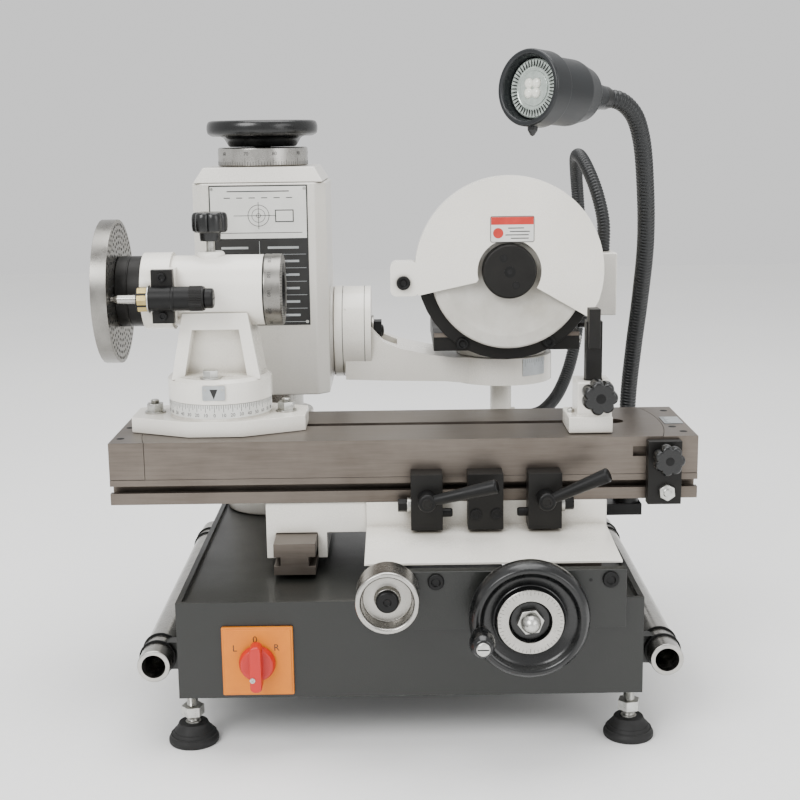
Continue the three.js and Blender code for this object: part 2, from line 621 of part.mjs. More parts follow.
function toothRest() {
  const { x, y, top, knobZ, postTop, fingerTop } = REST;
  const half = 7.2;
  const foot = box(x - 24, x + 15, y - 24, y + 24, TABLE.top + GAP, 262);
  const body = box(x - 16, x + 15, y - 18, y + 19, 261, top);
  const socket = box(x - half - GAP, x + half + GAP, y - half - GAP, y + half + GAP, 254, top + 1);
  const screwHole = rod(CLAMP.hole, -y, -y + 20, '-y', [x, 0, knobZ], 20);
  const post = box(x - half, x + half, y - half, y + half, 256, postTop);
  const blade = box(x - 6, x + 4, y - half - 9, y - half + 1, 322, fingerTop);
  const finger = join(blade, box(x - 6, x + 4, y - half, y, postTop - 5, fingerTop));
  return assembly(
    piece('rest_holder', 'enamel', cut(join(foot, body), socket, screwHole)),
    piece('rest_post', 'black', join(post, finger)),
    starKnob('rest_knob', [x, 0, knobZ], 16, -y + 23, -84, -y + half + 0.6),
  );
}

// ---------------------------------------------------------------- column

function columnHousing() {
  const { x, y, halfWidth: w, halfDepth: d, chamfer: c, bottom, top } = COLUMN;
  const outline = [
    [-w + c, -d], [w - c, -d], [w, -d + c], [w, d - c], [w - c, d], [-w + c, d], [-w, d - c], [-w, -d + c],
  ];
  const bossEnd = ARM.boss - x - GAP;
  const boss = rod(ARM.hubRadius, w - 4, bossEnd, 'x', [0, 0, ARM.z], 32);
  const studBore = rod(10.3, w - 16, bossEnd + 1, 'x', [0, 0, ARM.z], 16);
  const bore = rod(PILLAR.radius + GAP, bottom - 1, top - 10, 'z', [0, 0, 0], 26);
  const screwBore = rod(8.5, top - 11, top + 1, 'z', [0, 0, 0], 16);
  const solid = cut(join(prism(outline, bottom, top), boss), studBore, bore, screwBore);
  return piece('column_housing', 'enamel', solid, { at: [x, y, 0] });
}

function columnCap() {
  const { x, y, halfWidth: w, halfDepth: d, chamfer: c, top } = COLUMN;
  const slab = new THREE.CylinderGeometry(Math.SQRT1_2, Math.SQRT1_2, 1, 4, 1);
  slab.rotateX(Math.PI / 2).rotateZ(Math.PI / 4);
  const position = slab.attributes.position;
  for (let i = 0; i < position.count; i += 1) {
    const shrink = position.getZ(i) > 0 ? c : 2;
    position.setX(i, Math.sign(Math.round(position.getX(i) * 4)) * (w - shrink));
    position.setY(i, Math.sign(Math.round(position.getY(i) * 4)) * (d - shrink));
    position.setZ(i, position.getZ(i) > 0 ? LIFT.capTop : top + GAP);
  }
  const bore = rod(8.5, top - 1, LIFT.capTop + 1, 'z', [0, 0, 0], 16);
  return piece('column_cap', 'enamel', cut(solidOf(slab), bore), { at: [x, y, 0] });
}

function liftHandwheel() {
  const { dialTop, top, radius } = LIFT;
  const profile = [
    [8.4, dialTop + GAP], [34, dialTop + GAP], [40, top - 15], [radius - 5, top - 16], [radius, top - 12],
    [radius, top - 4], [radius - 5, top], [radius - 12, top - 2], [34, top - 9], [14, top - 9],
    [12, top - 6], [8.4, top - 6],
  ];
  const wheel = turned(profile, 'z', [0, 0, 0], 30);
  return piece('lift_handwheel', 'plastic', wheel, { at: [COLUMN.x, COLUMN.y, 0] });
}

function liftScrew() {
  const { screwBottom, capTop, dialTop, top } = LIFT;
  const profile = [
    [0, screwBottom], [8, screwBottom], [8, capTop + GAP], [45, capTop + GAP], [45, dialTop], [8, dialTop],
    [8, top - 5.4], [11, top - 5.4], [11, top], [0, top],
  ];
  return piece('lift_screw', 'steel', turned(profile, 'z', [0, 0, 0], 26), { at: [COLUMN.x, COLUMN.y, 0] });
}

function column() {
  return assembly(columnHousing(), columnCap(), liftHandwheel(), liftScrew());
}

// ---------------------------------------------------------------- arm and wheel head

function armStud() {
  const seat = ARM.hubEnd + GAP;
  const profile = [[0, -89], [10, -89], [10, seat], [12, seat], [12, -21], [0, -21]];
  return piece('arm_stud', 'black', turned(profile, 'x', [0, ARM.y, ARM.z], 24));
}

function arm() {
  const { y, z, boss, hubEnd, hubRadius, endX, endRadius } = ARM;
  const hub = rod(hubRadius, boss, hubEnd, 'x', [0, 0, z], 48);
  const web = prism([
    [-60, 268], [-20, 266.5], [40, 265], [70, 262.2], [endX, 262.2], [endX, 288.8], [50, 289], [26, 292],
    [-5, 299], [-22, 306], [hubEnd - 1, 320], [-60, 340],
  ], -38, 38, '-y');
  const end = rod(endRadius, 262, 289, 'z', [endX, 0, 0], 36);
  const recess = box(hubEnd, -8, -20, 20, 296, 330);
  const studBore = rod(10.4, boss - 1, hubEnd + 1, 'x', [0, 0, z], 16);
  const pinBore = rod(11.3, 261, 290, 'z', [endX, 0, 0], 20);
  return piece('arm', 'enamel', cut(join(hub, web, end), recess, studBore, pinBore), { at: [0, y, 0] });
}

function swivelTable() {
  const { x, y, low } = HEADSTOCK;
  const pivot = rod(11, 209, low + 1, 'z', [0, 0, 0], 20);
  const glandEnd = CONDUIT_ROUTE[CONDUIT_ROUTE.length - 1][0] - x - 2 * GAP;
  const gland = rod(9.5, 0, glandEnd, 'x', [0, 0, 220.5], 16);
  const table = rod(46, low, 300.7, 'z', [0, 0, 0], 28);
  return piece('swivel_table', 'enamel', join(table, pivot, gland), { at: [x, y, 0] });
}

function slideBlock() {
  const block = box(28, 171, 250, 390, 301, 319);
  const groove = prism([[70, 300], [130, 300], [124, 307], [76, 307]], -391, -249, '-y');
  return piece('slide_block', 'black', cut(block, groove));
}

function motor() {
  const { wheelX: x, wheelZ: z } = HEADSTOCK;
  const { radius, front, rear } = MOTOR;
  const profile = [
    [0, -rear], [40, -rear], [56, 8 - rear], [radius, 14 - rear], [radius, -14 - front],
    [54, -6 - front], [30, -front], [0, -front],
  ];
  const foot = box(x - 42, x + 42, 282, 384, 319.3, 340);
  const bore = rod(8.5, -22 - front, 1 - front, '-y', [x, 0, z], 24);
  return piece('motor', 'enamel', cut(join(turned(profile, '-y', [x, 0, z], 30), foot), bore));
}

function terminalBox() {
  const { wheelX: x, wheelZ: z } = HEADSTOCK;
  const block = box(x + 50, 214, 295, 345, 328, 390.9);
  const room = rod(MOTOR.radius + GAP, -346, -294, '-y', [x, 0, z], 30);
  return piece('terminal_box', 'black', cut(block, room));
}

function guardBack() {
  const { wheelX: x, wheelZ: z } = HEADSTOCK;
  const plate = rod(GUARD.plateRadius, -GUARD.plateRear, -GUARD.plateFront, '-y', [x, 0, z], 40);
  const hole = rod(24, -1 - GUARD.plateRear, 1 - GUARD.plateFront, '-y', [x, 0, z], 20);
  return piece('guard_back', 'black', cut(plate, hole));
}

// the cover's outline about the wheel's axis: an arc over the wheel, open below, round notch in the middle
function coverOutline(radius, notch) {
  const shape = new THREE.Shape();
  const [left, right] = [Math.PI + 0.247, -0.326];
  shape.absarc(0, 0, radius, right, left, false);
  shape.lineTo(-notch - 1, -10);
  shape.absarc(0, 0, notch, Math.PI + 0.25, -0.55, true);
  shape.lineTo(76, -45);
  shape.closePath();
  return shape;
}

function guardCover() {
  const { wheelX: x, wheelZ: z } = HEADSTOCK;
  const [front, sheet, rear] = [-222, -224.5, GAP - GUARD.plateFront];
  const outline = coverOutline(GUARD.radius, GUARD.notch);
  const outer = prism(outline, rear, front, 'z', [0, 0, 0], 26);
  const lugSide = box(-120, -86, -30, 12, rear - 1, front);
  const room = cut(rod(87.5, rear - 1, sheet, 'z', [0, 0, 0], 48), lugSide);
  const skirt = box(-29, 29, -29, 29, rear - 1, sheet);
  const lug = prism(roundedRect(-100, -6, 27, 33, 6), rear, front);
  const pinHole = rod(5, rear - 1, -228, 'z', [-101, -9.4, 0], 20);
  const solid = cut(join(outer, lug), room, skirt, pinHole);
  return piece('guard_cover', 'enamel', solid, { at: [x, 0, z], turn: FRONT });
}

function grindingWheel() {
  const { wheelX: x, wheelZ: z, wheelRadius: r } = HEADSTOCK;
  const profile = [
    [8.5, -241.5], [r - 1, -241.5], [r, -240.5], [r, -229], [r - 1.5, -227.5], [r - 14, -227.5],
    [46, -234], [8.5, -234],
  ];
  return frontTurned('grinding_wheel', 'abrasive', profile, { x, z }, 36);
}

function wheelFlange() {
  const { wheelX: x, wheelZ: z } = HEADSTOCK;
  const profile = [[0, -281], [8, -281], [8, -233.7], [26, -233.7], [26, -220], [24, -218.5], [0, -218.5]];
  return frontTurned('wheel_flange', 'black', profile, { x, z }, 26);
}

function wheelHead() {
  return assembly(
    armStud(), arm(), swivelTable(), slideBlock(), motor(), terminalBox(), guardBack(),
    guardCover(), grindingWheel(), wheelFlange(),
    piece('conduit', 'rubber', sweep(CONDUIT_ROUTE, CONDUIT_RADIUS, 8, 36)),
  );
}

// ---------------------------------------------------------------- whole machine

const machine = assembly(
  base(),
  switchParts(),
  assembly(traverseKnob(), feedHandwheel(), feedScrew(), handwheelHandle()),
  assembly(saddle(), splashShield(), traversePinion(), stopBlock('stop_block_middle', STOPS.middle, 0)),
  tables(),
  workHead(),
  toothRest(),
  column(),
  wheelHead(),
);
machine.position.set(-ORIGIN[0], -ORIGIN[1], -ORIGIN[2]);

const group = new THREE.Group();
group.name = 'tool_and_cutter_grinder';
group.add(machine);
export default group;
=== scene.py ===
"""Bench-top tool and cutter grinder: detailed pieces, finishes and a studio round the packed frame."""

import math

import bmesh
import bpy
from bpy.props import FloatProperty, IntProperty, PointerProperty
from mathutils import Matrix, Vector


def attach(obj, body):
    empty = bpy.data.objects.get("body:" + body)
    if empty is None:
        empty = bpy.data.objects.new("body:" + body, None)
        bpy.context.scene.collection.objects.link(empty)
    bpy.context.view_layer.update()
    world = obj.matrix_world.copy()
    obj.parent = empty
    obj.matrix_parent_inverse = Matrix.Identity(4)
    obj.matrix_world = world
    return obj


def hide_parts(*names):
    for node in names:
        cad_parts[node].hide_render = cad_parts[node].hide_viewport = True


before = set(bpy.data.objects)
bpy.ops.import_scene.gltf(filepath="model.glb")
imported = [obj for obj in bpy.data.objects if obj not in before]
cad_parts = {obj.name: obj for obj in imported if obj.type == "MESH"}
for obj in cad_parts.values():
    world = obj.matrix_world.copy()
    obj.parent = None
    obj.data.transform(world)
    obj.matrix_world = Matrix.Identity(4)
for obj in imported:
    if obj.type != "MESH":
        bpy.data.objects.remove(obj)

bl_info = {
    "name": "Tool and Cutter Grinder",
    "version": (1, 0, 0),
    "blender": (4, 5, 0),
    "location": "3D View > Sidebar > Grinder",
    "description": "Builds the detailed pieces and finishes of a bench-top tool and cutter grinder",
    "category": "Add Mesh",
}

MM = 0.001
DATUM = (7.75, -164.0)  # from the machine's own datum to the frame's origin, in millimetres

# turns a shape made along Z so that it lies along the named axis; '-y' faces the operator
AXES = {
    "z": Matrix.Identity(4),
    "x": Matrix(((0, 0, 1, 0), (1, 0, 0, 0), (0, 1, 0, 0), (0, 0, 0, 1))),
    "-x": Matrix(((0, 0, -1, 0), (-1, 0, 0, 0), (0, 1, 0, 0), (0, 0, 0, 1))),
    "-y": Matrix(((1, 0, 0, 0), (0, 0, -1, 0), (0, 1, 0, 0), (0, 0, 0, 1))),
}


def place(x, y, z, axis="z", turn=0.0):
    """The matrix that takes millimetres about a point of the machine to metres in the frame."""
    where = Matrix.Translation(((x + DATUM[0]) * MM, (y + DATUM[1]) * MM, z * MM))
    return where @ AXES[axis] @ Matrix.Rotation(math.radians(turn), 4, "Z") @ Matrix.Scale(MM, 4)


def spot(x, y, z):
    return place(x, y, z).translation


def spin(degrees, axis="Z"):
    return Matrix.Rotation(math.radians(degrees), 4, axis)


def rigid(matrix):
    """The matrix without its scale."""
    return Matrix.Translation(matrix.translation) @ matrix.to_quaternion().to_matrix().to_4x4()


def facing(x, y, z, axis="-y", size=1):
    """A spot for a repeated shape: a point of the machine, and the axis that the shape stands along."""
    return Matrix.Translation(spot(x, y, z)) @ AXES[axis], size


def on_drum(centre, z, radius, angle):
    """A matrix on the side of an upright drum, at an angle in radians, facing outwards."""
    where = spot(centre[0] + radius * math.cos(angle), centre[1] + radius * math.sin(angle), z)
    return Matrix.Translation(where) @ Matrix.Rotation(angle + math.pi / 2, 4, "Z") @ AXES["-y"]


# ---------------------------------------------------------------- finishes


def wire(tree, kind, links=None, **settings):
    """A node with its settings, its input values and its links. An input is named or numbered."""
    node = tree.nodes.new(kind)
    for key, value in settings.items():
        setattr(node, key, value)
    for name, value in (links or {}).items():
        socket = node.inputs[name]
        if isinstance(value, bpy.types.NodeSocket):
            tree.links.new(value, socket)
        else:
            socket.default_value = value
    return node


def rgba(code):
    """A colour from its hexadecimal code, as the linear values a shader takes."""
    parts = [int(code[i : i + 2], 16) / 255 for i in (0, 2, 4)]
    return (*[((c + 0.055) / 1.055) ** 2.4 if c > 0.04045 else c / 12.92 for c in parts], 1)


# brownish grey that corners and crevices are darkened towards: painted shade
PAINTED_SHADE_TINT = (0.32, 0.29, 0.25, 1)


def spread(tree, value, low, high, start, end):
    """Stretches a value's range from low and high to start and end."""
    links = {"Value": value, "From Min": low, "From Max": high, "To Min": start, "To Max": end}
    return wire(tree, "ShaderNodeMapRange", links).outputs["Result"]


def finish(
    name, low, high, metal=0.0, rough=(0.3, 0.4), cloud=30.0, grain=1500.0, bump=0.05,
    stretch=(1, 1, 1), height=0.0001, coat=0.0, corner_shade=0.0, brushed=0.0,
):
    """A finish: colour clouds, fine grain in the roughness and in the surface, and grime in the corners."""
    material = bpy.data.materials.new(name)
    material.use_nodes = True
    tree = material.node_tree
    tree.nodes.clear()
    where = wire(tree, "ShaderNodeTexCoord").outputs["Object"]
    drawn = wire(tree, "ShaderNodeMapping", {"Vector": where, "Scale": stretch}).outputs["Vector"]
    noise = [{"Vector": where, "Scale": cloud, "Detail": 4.0, "Roughness": 0.55},
             {"Vector": drawn, "Scale": grain, "Detail": 3.0, "Roughness": 0.6}]
    clouds, fine = [wire(tree, "ShaderNodeTexNoise", links).outputs["Fac"] for links in noise]
    mixed = wire(tree, "ShaderNodeMix", {"Factor": 0.35, "A": clouds, "B": fine},
                 data_type="FLOAT").outputs["Result"]
    shade = {"Factor": spread(tree, mixed, 0.32, 0.68, 0.0, 1.0), 6: rgba(low), 7: rgba(high)}
    base = wire(tree, "ShaderNodeMix", shade, data_type="RGBA").outputs[2]
    # painted shade: ambient occlusion darkens the colour towards a brownish grey in corners, crevices and
    # between parts
    if corner_shade:
        room = wire(tree, "ShaderNodeAmbientOcclusion", {"Distance": 0.012}, samples=6).outputs["AO"]
        dark = {"Factor": spread(tree, room, 0.25, 0.85, corner_shade, 0.0), 6: base, 7: PAINTED_SHADE_TINT}
        base = wire(tree, "ShaderNodeMix", dark, data_type="RGBA", blend_type="MULTIPLY").outputs[2]
    normal = wire(tree, "ShaderNodeBump", {"Strength": bump, "Distance": height, "Height": fine})
    shader = wire(tree, "ShaderNodeBsdfPrincipled", {
        "Base Color": base, "Metallic": metal, "Roughness": spread(tree, mixed, 0.35, 0.65, *rough),
        "Normal": normal.outputs["Normal"], "Coat Weight": coat, "Coat Roughness": 0.12,
        "Anisotropic": brushed,
    })
    wire(tree, "ShaderNodeOutputMaterial", {"Surface": shader.outputs["BSDF"]})
    return material


# each finish: the record's material slot, two colours, metal, roughness, size of the clouds,
# size of the grain, bump, and what differs from the usual, such as how much painted shade darkens the
# corners
FINISHES = {
    "enamel": ("enamel", "e6e2d8", "f1eee6", 0.0, (0.22, 0.34), 9.0, 900.0, 0.09,
        dict(height=0.0004, coat=0.35, corner_shade=0.8)),
    "enamel_grey": ("enamel", "d0cdc5", "dedbd4", 0.0, (0.24, 0.36), 8.0, 700.0, 0.12,
        dict(height=0.0005, coat=0.3, corner_shade=0.8)),
    "green": ("green_paint", "0d0f0c", "141612", 0.0, (0.36, 0.5), 12.0, 650.0, 0.25,
        dict(height=0.0005, coat=0.15, corner_shade=0.5)),
    "ground": ("ground_steel", "5c544d", "7b736b", 0.85, (0.3, 0.46), 14.0, 420.0, 0.22,
        dict(stretch=(0.06, 1, 1), height=0.0001, corner_shade=0.6, brushed=0.35)),
    "steel": ("satin_steel", "9c9a95", "c6c4bf", 1.0, (0.2, 0.34), 40.0, 1500.0, 0.1, dict(corner_shade=0.5)),
    "steel_dark": ("satin_steel", "72706c", "989691", 1.0, (0.24, 0.38), 40.0, 1500.0, 0.1, dict(corner_shade=0.5)),
    "zinc": ("satin_steel", "a9a9a4", "d8d8d4", 1.0, (0.24, 0.42), 160.0, 2200.0, 0.12, dict(corner_shade=0.5)),
    "brass": ("satin_steel", "9d8a58", "c4b27c", 1.0, (0.24, 0.4), 90.0, 1800.0, 0.1, dict(corner_shade=0.5)),
    "black": ("black_oxide", "141312", "201f1d", 0.55, (0.38, 0.55), 38.0, 1300.0, 0.2,
        dict(height=0.00015, corner_shade=0.4)),
    "black_dark": ("black_oxide", "080808", "101010", 0.5, (0.34, 0.5), 60.0, 1500.0, 0.15, dict(corner_shade=0.3)),
    "plastic": ("black_plastic", "040505", "090a0b", 0.0, (0.22, 0.34), 50.0, 2200.0, 0.12,
        dict(height=0.00012, coat=0.1)),
    "rubber": ("rubber", "080808", "111110", 0.0, (0.6, 0.8), 60.0, 1800.0, 0.3, dict(height=0.0002)),
    "hose": ("corrugated_hose", "07090a", "0f1214", 0.0, (0.34, 0.5), 70.0, 1500.0, 0.12,
        dict(height=0.0001)),
    "yellow": ("yellow_plate", "cc7000", "dc7e02", 0.0, (0.55, 0.7), 60.0, 1800.0, 0.14,
        dict(height=0.0001)),
    "red": ("red_plastic", "ae0a00", "c00e01", 0.0, (0.4, 0.5), 60.0, 1800.0, 0.1, dict(coat=0.2)),
    "abrasive": ("abrasive", "b9b5aa", "e0ded8", 0.0, (0.82, 0.95), 26.0, 2600.0, 0.8,
        dict(height=0.00045, corner_shade=0.3)),
    "lamp": ("lamp_shell", "0b0e10", "14181b", 0.0, (0.34, 0.46), 40.0, 1600.0, 0.16,
        dict(height=0.00012, corner_shade=0.3)),
    "glass": ("lamp_shell", "9ba59f", "bcc5be", 0.3, (0.12, 0.2), 220.0, 2500.0, 0.2, dict(coat=0.8)),
    "led": ("lamp_shell", "cfd0c4", "f2f2e8", 0.0, (0.08, 0.14), 300.0, 2600.0, 0.05, dict(coat=1.0)),
    "label": ("enamel", "cfcfca", "dededa", 0.0, (0.3, 0.42), 40.0, 1500.0, 0.05, dict(coat=0.3)),
    "plate": ("satin_steel", "a4a8aa", "bcc0c2", 0.7, (0.3, 0.42), 60.0, 900.0, 0.1,
        dict(stretch=(0.1, 1, 1), corner_shade=0.3)),
    "ink": ("black_oxide", "141414", "232322", 0.0, (0.45, 0.6), 90.0, 2000.0, 0.05, dict()),
    "ink_red": ("red_plastic", "b02418", "c8342a", 0.0, (0.4, 0.5), 90.0, 2000.0, 0.05, dict()),
    # near black: painted shade that stands in for holes, slots and the gaps between parts
    "painted_hole_shade": ("black_oxide", "050505", "0b0b0b", 0.0, (0.7, 0.9), 90.0, 900.0, 0.1, dict()),
}

FINISH = {}


def make_finishes():
    """Makes every finish of the machine, by its short name."""
    for name, (_, *looks, rest) in FINISHES.items():
        FINISH[name] = finish(name, *looks, **rest)


# ---------------------------------------------------------------- shapes


def rounded(profile, radius, steps=3):
    """The profile with its corners rounded off. Points are [radius, height] in millimetres."""
    points = [Vector(p) for p in profile]
    out = [points[0]]
    for before, here, after in zip(points, points[1:], points[2:]):
        one, two = before - here, after - here
        if one.length < 1e-6 or two.length < 1e-6 or math.degrees(one.angle(-two, 0)) < 12:
            out.append(here)
            continue
        reach = min(radius, one.length * 0.42, two.length * 0.42)
        a, b = here + one.normalized() * reach, here + two.normalized() * reach
        for i in range(steps + 1):
            t = i / steps
            out.append(a * (1 - t) ** 2 + here * 2 * t * (1 - t) + b * t**2)
    return [tuple(p) for p in out + [points[-1]]]


def lobes(inner, outer, count, steps=144, sharp=0.8):
    """The outline of a hand knob with round lobes."""
    points = []
    for i in range(steps):
        angle = 2 * math.pi * i / steps
        reach = inner + (outer - inner) * abs(math.cos(count * angle / 2)) ** sharp
        points.append((reach * math.cos(angle), reach * math.sin(angle)))
    return points


def round_rect(width, height, radius, steps=6):
    points = []
    for cx, cy, start in ((1, 1, 0), (-1, 1, 90), (-1, -1, 180), (1, -1, 270)):
        x, y = cx * (width / 2 - radius), cy * (height / 2 - radius)
        for i in range(steps + 1):
            angle = math.radians(start + 90 * i / steps)
            points.append((x + radius * math.cos(angle), y + radius * math.sin(angle)))
    return points


def polygon(radius, sides, turn=0.0):
    angles = [math.radians(turn + 360 * i / sides) for i in range(sides)]
    return [(radius * math.cos(a), radius * math.sin(a)) for a in angles]


class Shape:
    """Gathers closed shells with their finishes, and becomes one mesh piece that moves with a body."""

    def __init__(self):
        self.mesh = bmesh.new()
        self.finishes = []

    def _index(self, look):
        if look not in self.finishes:
            self.finishes.append(look)
        return self.finishes.index(look)

    def shell(self, points, faces, look, at):
        """Adds faces over the points, seen through the matrix at."""
        index = self._index(look)
        verts = [self.mesh.verts.new(at @ Vector(p)) for p in points]
        for face in faces:
            made = self.mesh.faces.new([verts[i] for i in face])
            made.material_index = index
            made.smooth = True
        return self

    def lathe(self, profile, look, at, soft=0.6, segments=72):
        """A solid of revolution. An outline that isn't closed on the axis is closed on itself."""
        profile = rounded(profile, soft) if soft else profile
        on_axis = profile[0][0] < 1e-6 and profile[-1][0] < 1e-6
        rings, points, faces = [], [], []
        for r, h in profile:
            if r < 1e-6:
                rings.append([len(points)] * segments)
                points.append((0, 0, h))
                continue
            rings.append(list(range(len(points), len(points) + segments)))
            for i in range(segments):
                angle = 2 * math.pi * i / segments
                points.append((r * math.cos(angle), r * math.sin(angle), h))
        pairs = list(zip(rings, rings[1:])) + ([] if on_axis else [(rings[-1], rings[0])])
        for a, b in pairs:
            for i in range(segments):
                j = (i + 1) % segments
                face = list(dict.fromkeys([a[i], a[j], b[j], b[i]]))
                if len(face) > 2:
                    faces.append(face)
        return self.shell(points, faces, look, at)

    def stack(self, outline, levels, look, at):
        """A solid through one outline at several levels. A level is (height, size of the outline)."""
        centre = sum((Vector(p) for p in outline), Vector((0, 0))) / len(outline)
        count, top = len(outline), len(outline) * (len(levels) - 1)
        points = []
        for h, scale in levels:
            points += [(*(centre + (Vector(p) - centre) * scale), h) for p in outline]
        faces = [list(range(count))[::-1], list(range(top, top + count))]
        for a in range(0, top, count):
            for i in range(count):
                j = (i + 1) % count
                faces.append([a + i, a + j, a + count + j, a + count + i])
        return self.shell(points, faces, look, at)

    def prism(self, outline, h0, h1, look, at, edge=0.0):
        """An outline pushed from h0 to h1, with an optional chamfer at its far end."""
        levels = [(h0, 1.0), (h1, 1.0)]
        if edge:
            centre = sum((Vector(p) for p in outline), Vector((0, 0))) / len(outline)
            loss = edge / max((Vector(p) - centre).length for p in outline)
            levels = [(h0, 1.0), (h1 - edge, 1.0), (h1 - edge * 0.35, 1 - loss * 0.35), (h1, 1 - loss)]
        return self.stack(outline, levels, look, at)

    def block(self, x, y, z, look, at=None):
        """A block between the pairs of machine coordinates x, y and z."""
        outline = [(x[0], y[0]), (x[1], y[0]), (x[1], y[1]), (x[0], y[1])]
        return self.prism(outline, z[0], z[1], look, at or place(0, 0, 0))

    def node(self, name, look):
        """Copies a CAD node's surface, with its flat triangles joined into whole faces."""
        index = self._index(look)
        source = bmesh.new()
        source.from_mesh(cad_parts[name].data)
        bmesh.ops.remove_doubles(source, verts=source.verts, dist=2e-6)
        flat = math.radians(0.6)
        bmesh.ops.dissolve_limit(source, angle_limit=flat, verts=source.verts, edges=source.edges)
        known = {vert: self.mesh.verts.new(vert.co) for vert in source.verts}
        for face in source.faces:
            made = self.mesh.faces.new([known[v] for v in face.verts])
            made.material_index = index
            made.smooth = True
        source.free()
        return self

    def hexagon(self, across, h0, h1, look, at, turn=0.0):
        """A nut's or a bolt head's six sides, with its corners taken off by a cone at the far end."""
        return self.prism(polygon(across / math.sqrt(3), 6, turn), h0, h1, look, at, edge=0.5)

    def done(self, name, body, replaces=(), bevel=0.0, segments=2, angle=35.0):
        """The finished piece: edges rounded, shading set, and riding on its body."""
        bmesh.ops.recalc_face_normals(self.mesh, faces=self.mesh.faces)
        data = bpy.data.meshes.new(name)
        self.mesh.to_mesh(data)
        self.mesh.free()
        for look in self.finishes:
            data.materials.append(FINISH[look])
        piece = bpy.data.objects.new(name, data)
        bpy.context.scene.collection.objects.link(piece)
        if bevel:
            edge = piece.modifiers.new("edge", "BEVEL")
            edge.width, edge.segments, edge.limit_method = bevel * MM, segments, "ANGLE"
            edge.angle_limit, edge.use_clamp_overlap = math.radians(angle), True
            edge.miter_outer = "MITER_ARC"
        bake(piece)
        piece.data.shade_smooth()
        piece.data.set_sharp_from_angle(angle=math.radians(angle))
        even = piece.modifiers.new("even", "WEIGHTED_NORMAL")
        even.keep_sharp, even.weight = True, 60
        bake(piece)
        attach(piece, body)
        if replaces:
            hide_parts(*replaces)
        return piece


def bake(piece):
    """Turns a piece's modifiers into its plain mesh."""
    bpy.context.view_layer.update()
    graph = bpy.context.evaluated_depsgraph_get()
    fresh = bpy.data.meshes.new_from_object(piece.evaluated_get(graph))
    piece.modifiers.clear()
    old, piece.data = piece.data, fresh
    bpy.data.meshes.remove(old)


def refined(node, body, look, bevel=0.8, segments=2, angle=35.0):
    """A CAD node with rounded edges and a finish, in the node's place."""
    return Shape().node(node, look).done(f"{node}_fine", body, (node,), bevel, segments, angle)


# ---------------------------------------------------------------- repeated things, as geometry nodes


def reckon(tree, operation, *values):
    """A maths node's result. A value is a number or a socket."""
    return wire(tree, "ShaderNodeMath", dict(enumerate(values)), operation=operation).outputs[0]


def group_tree(name, inputs):
    """A geometry tree with named inputs and one geometry output."""
    tree = bpy.data.node_groups.new(name, "GeometryNodeTree")
    tree.interface.new_socket("Geometry", in_out="INPUT", socket_type="NodeSocketGeometry")
    for label, kind, default in inputs:
        made = tree.interface.new_socket(label, in_out="INPUT", socket_type=kind)
        if default is not None:
            made.default_value = default
    tree.interface.new_socket("Geometry", in_out="OUTPUT", socket_type="NodeSocketGeometry")
    return tree, tree.nodes.new("NodeGroupInput"), tree.nodes.new("NodeGroupOutput")


def end_tree(tree, given, out, geometry):
    """Ends a tree: instances made real, and the finish set."""
    real = wire(tree, "GeometryNodeRealizeInstances", {"Geometry": geometry}).outputs["Geometry"]
    done = wire(tree, "GeometryNodeSetMaterial", {"Geometry": real, "Material": given.outputs["Finish"]})
    tree.links.new(done.outputs["Geometry"], out.inputs["Geometry"])


def scatter_tree():
    """Puts a part on every point, turned as the point says and a little at random about its own axis."""
    tree, given, out = group_tree("repeat_on_points", [
        ("Part", "NodeSocketObject", None), ("Finish", "NodeSocketMaterial", None),
        ("Loose Turn", "NodeSocketFloat", 0.0), ("Seed", "NodeSocketInt", 7),
    ])
    part = wire(tree, "GeometryNodeObjectInfo", {"Object": given.outputs["Part"]})
    turn, size = [
        wire(tree, "GeometryNodeInputNamedAttribute", {"Name": name},
             data_type="FLOAT_VECTOR").outputs["Attribute"]
        for name in ("turn", "size")
    ]
    about = wire(tree, "FunctionNodeEulerToRotation", {"Euler": turn})
    chance = wire(tree, "FunctionNodeRandomValue", {"Seed": given.outputs["Seed"]}, data_type="FLOAT")
    chance.inputs["Min"].default_value = chance.inputs[2].default_value = 0.0
    angle = reckon(tree, "MULTIPLY", chance.outputs[1], given.outputs["Loose Turn"])
    own = wire(tree, "ShaderNodeCombineXYZ", {"Z": angle})
    own = wire(tree, "FunctionNodeEulerToRotation", {"Euler": own.outputs["Vector"]})
    both = {"Rotation": about.outputs["Rotation"], "Rotate By": own.outputs["Rotation"]}
    both = wire(tree, "FunctionNodeRotateRotation", both, rotation_space="LOCAL")
    put = wire(tree, "GeometryNodeInstanceOnPoints", {
        "Points": given.outputs["Geometry"], "Instance": part.outputs["Geometry"],
        "Rotation": both.outputs["Rotation"], "Scale": size,
    })
    end_tree(tree, given, out, put.outputs["Instances"])


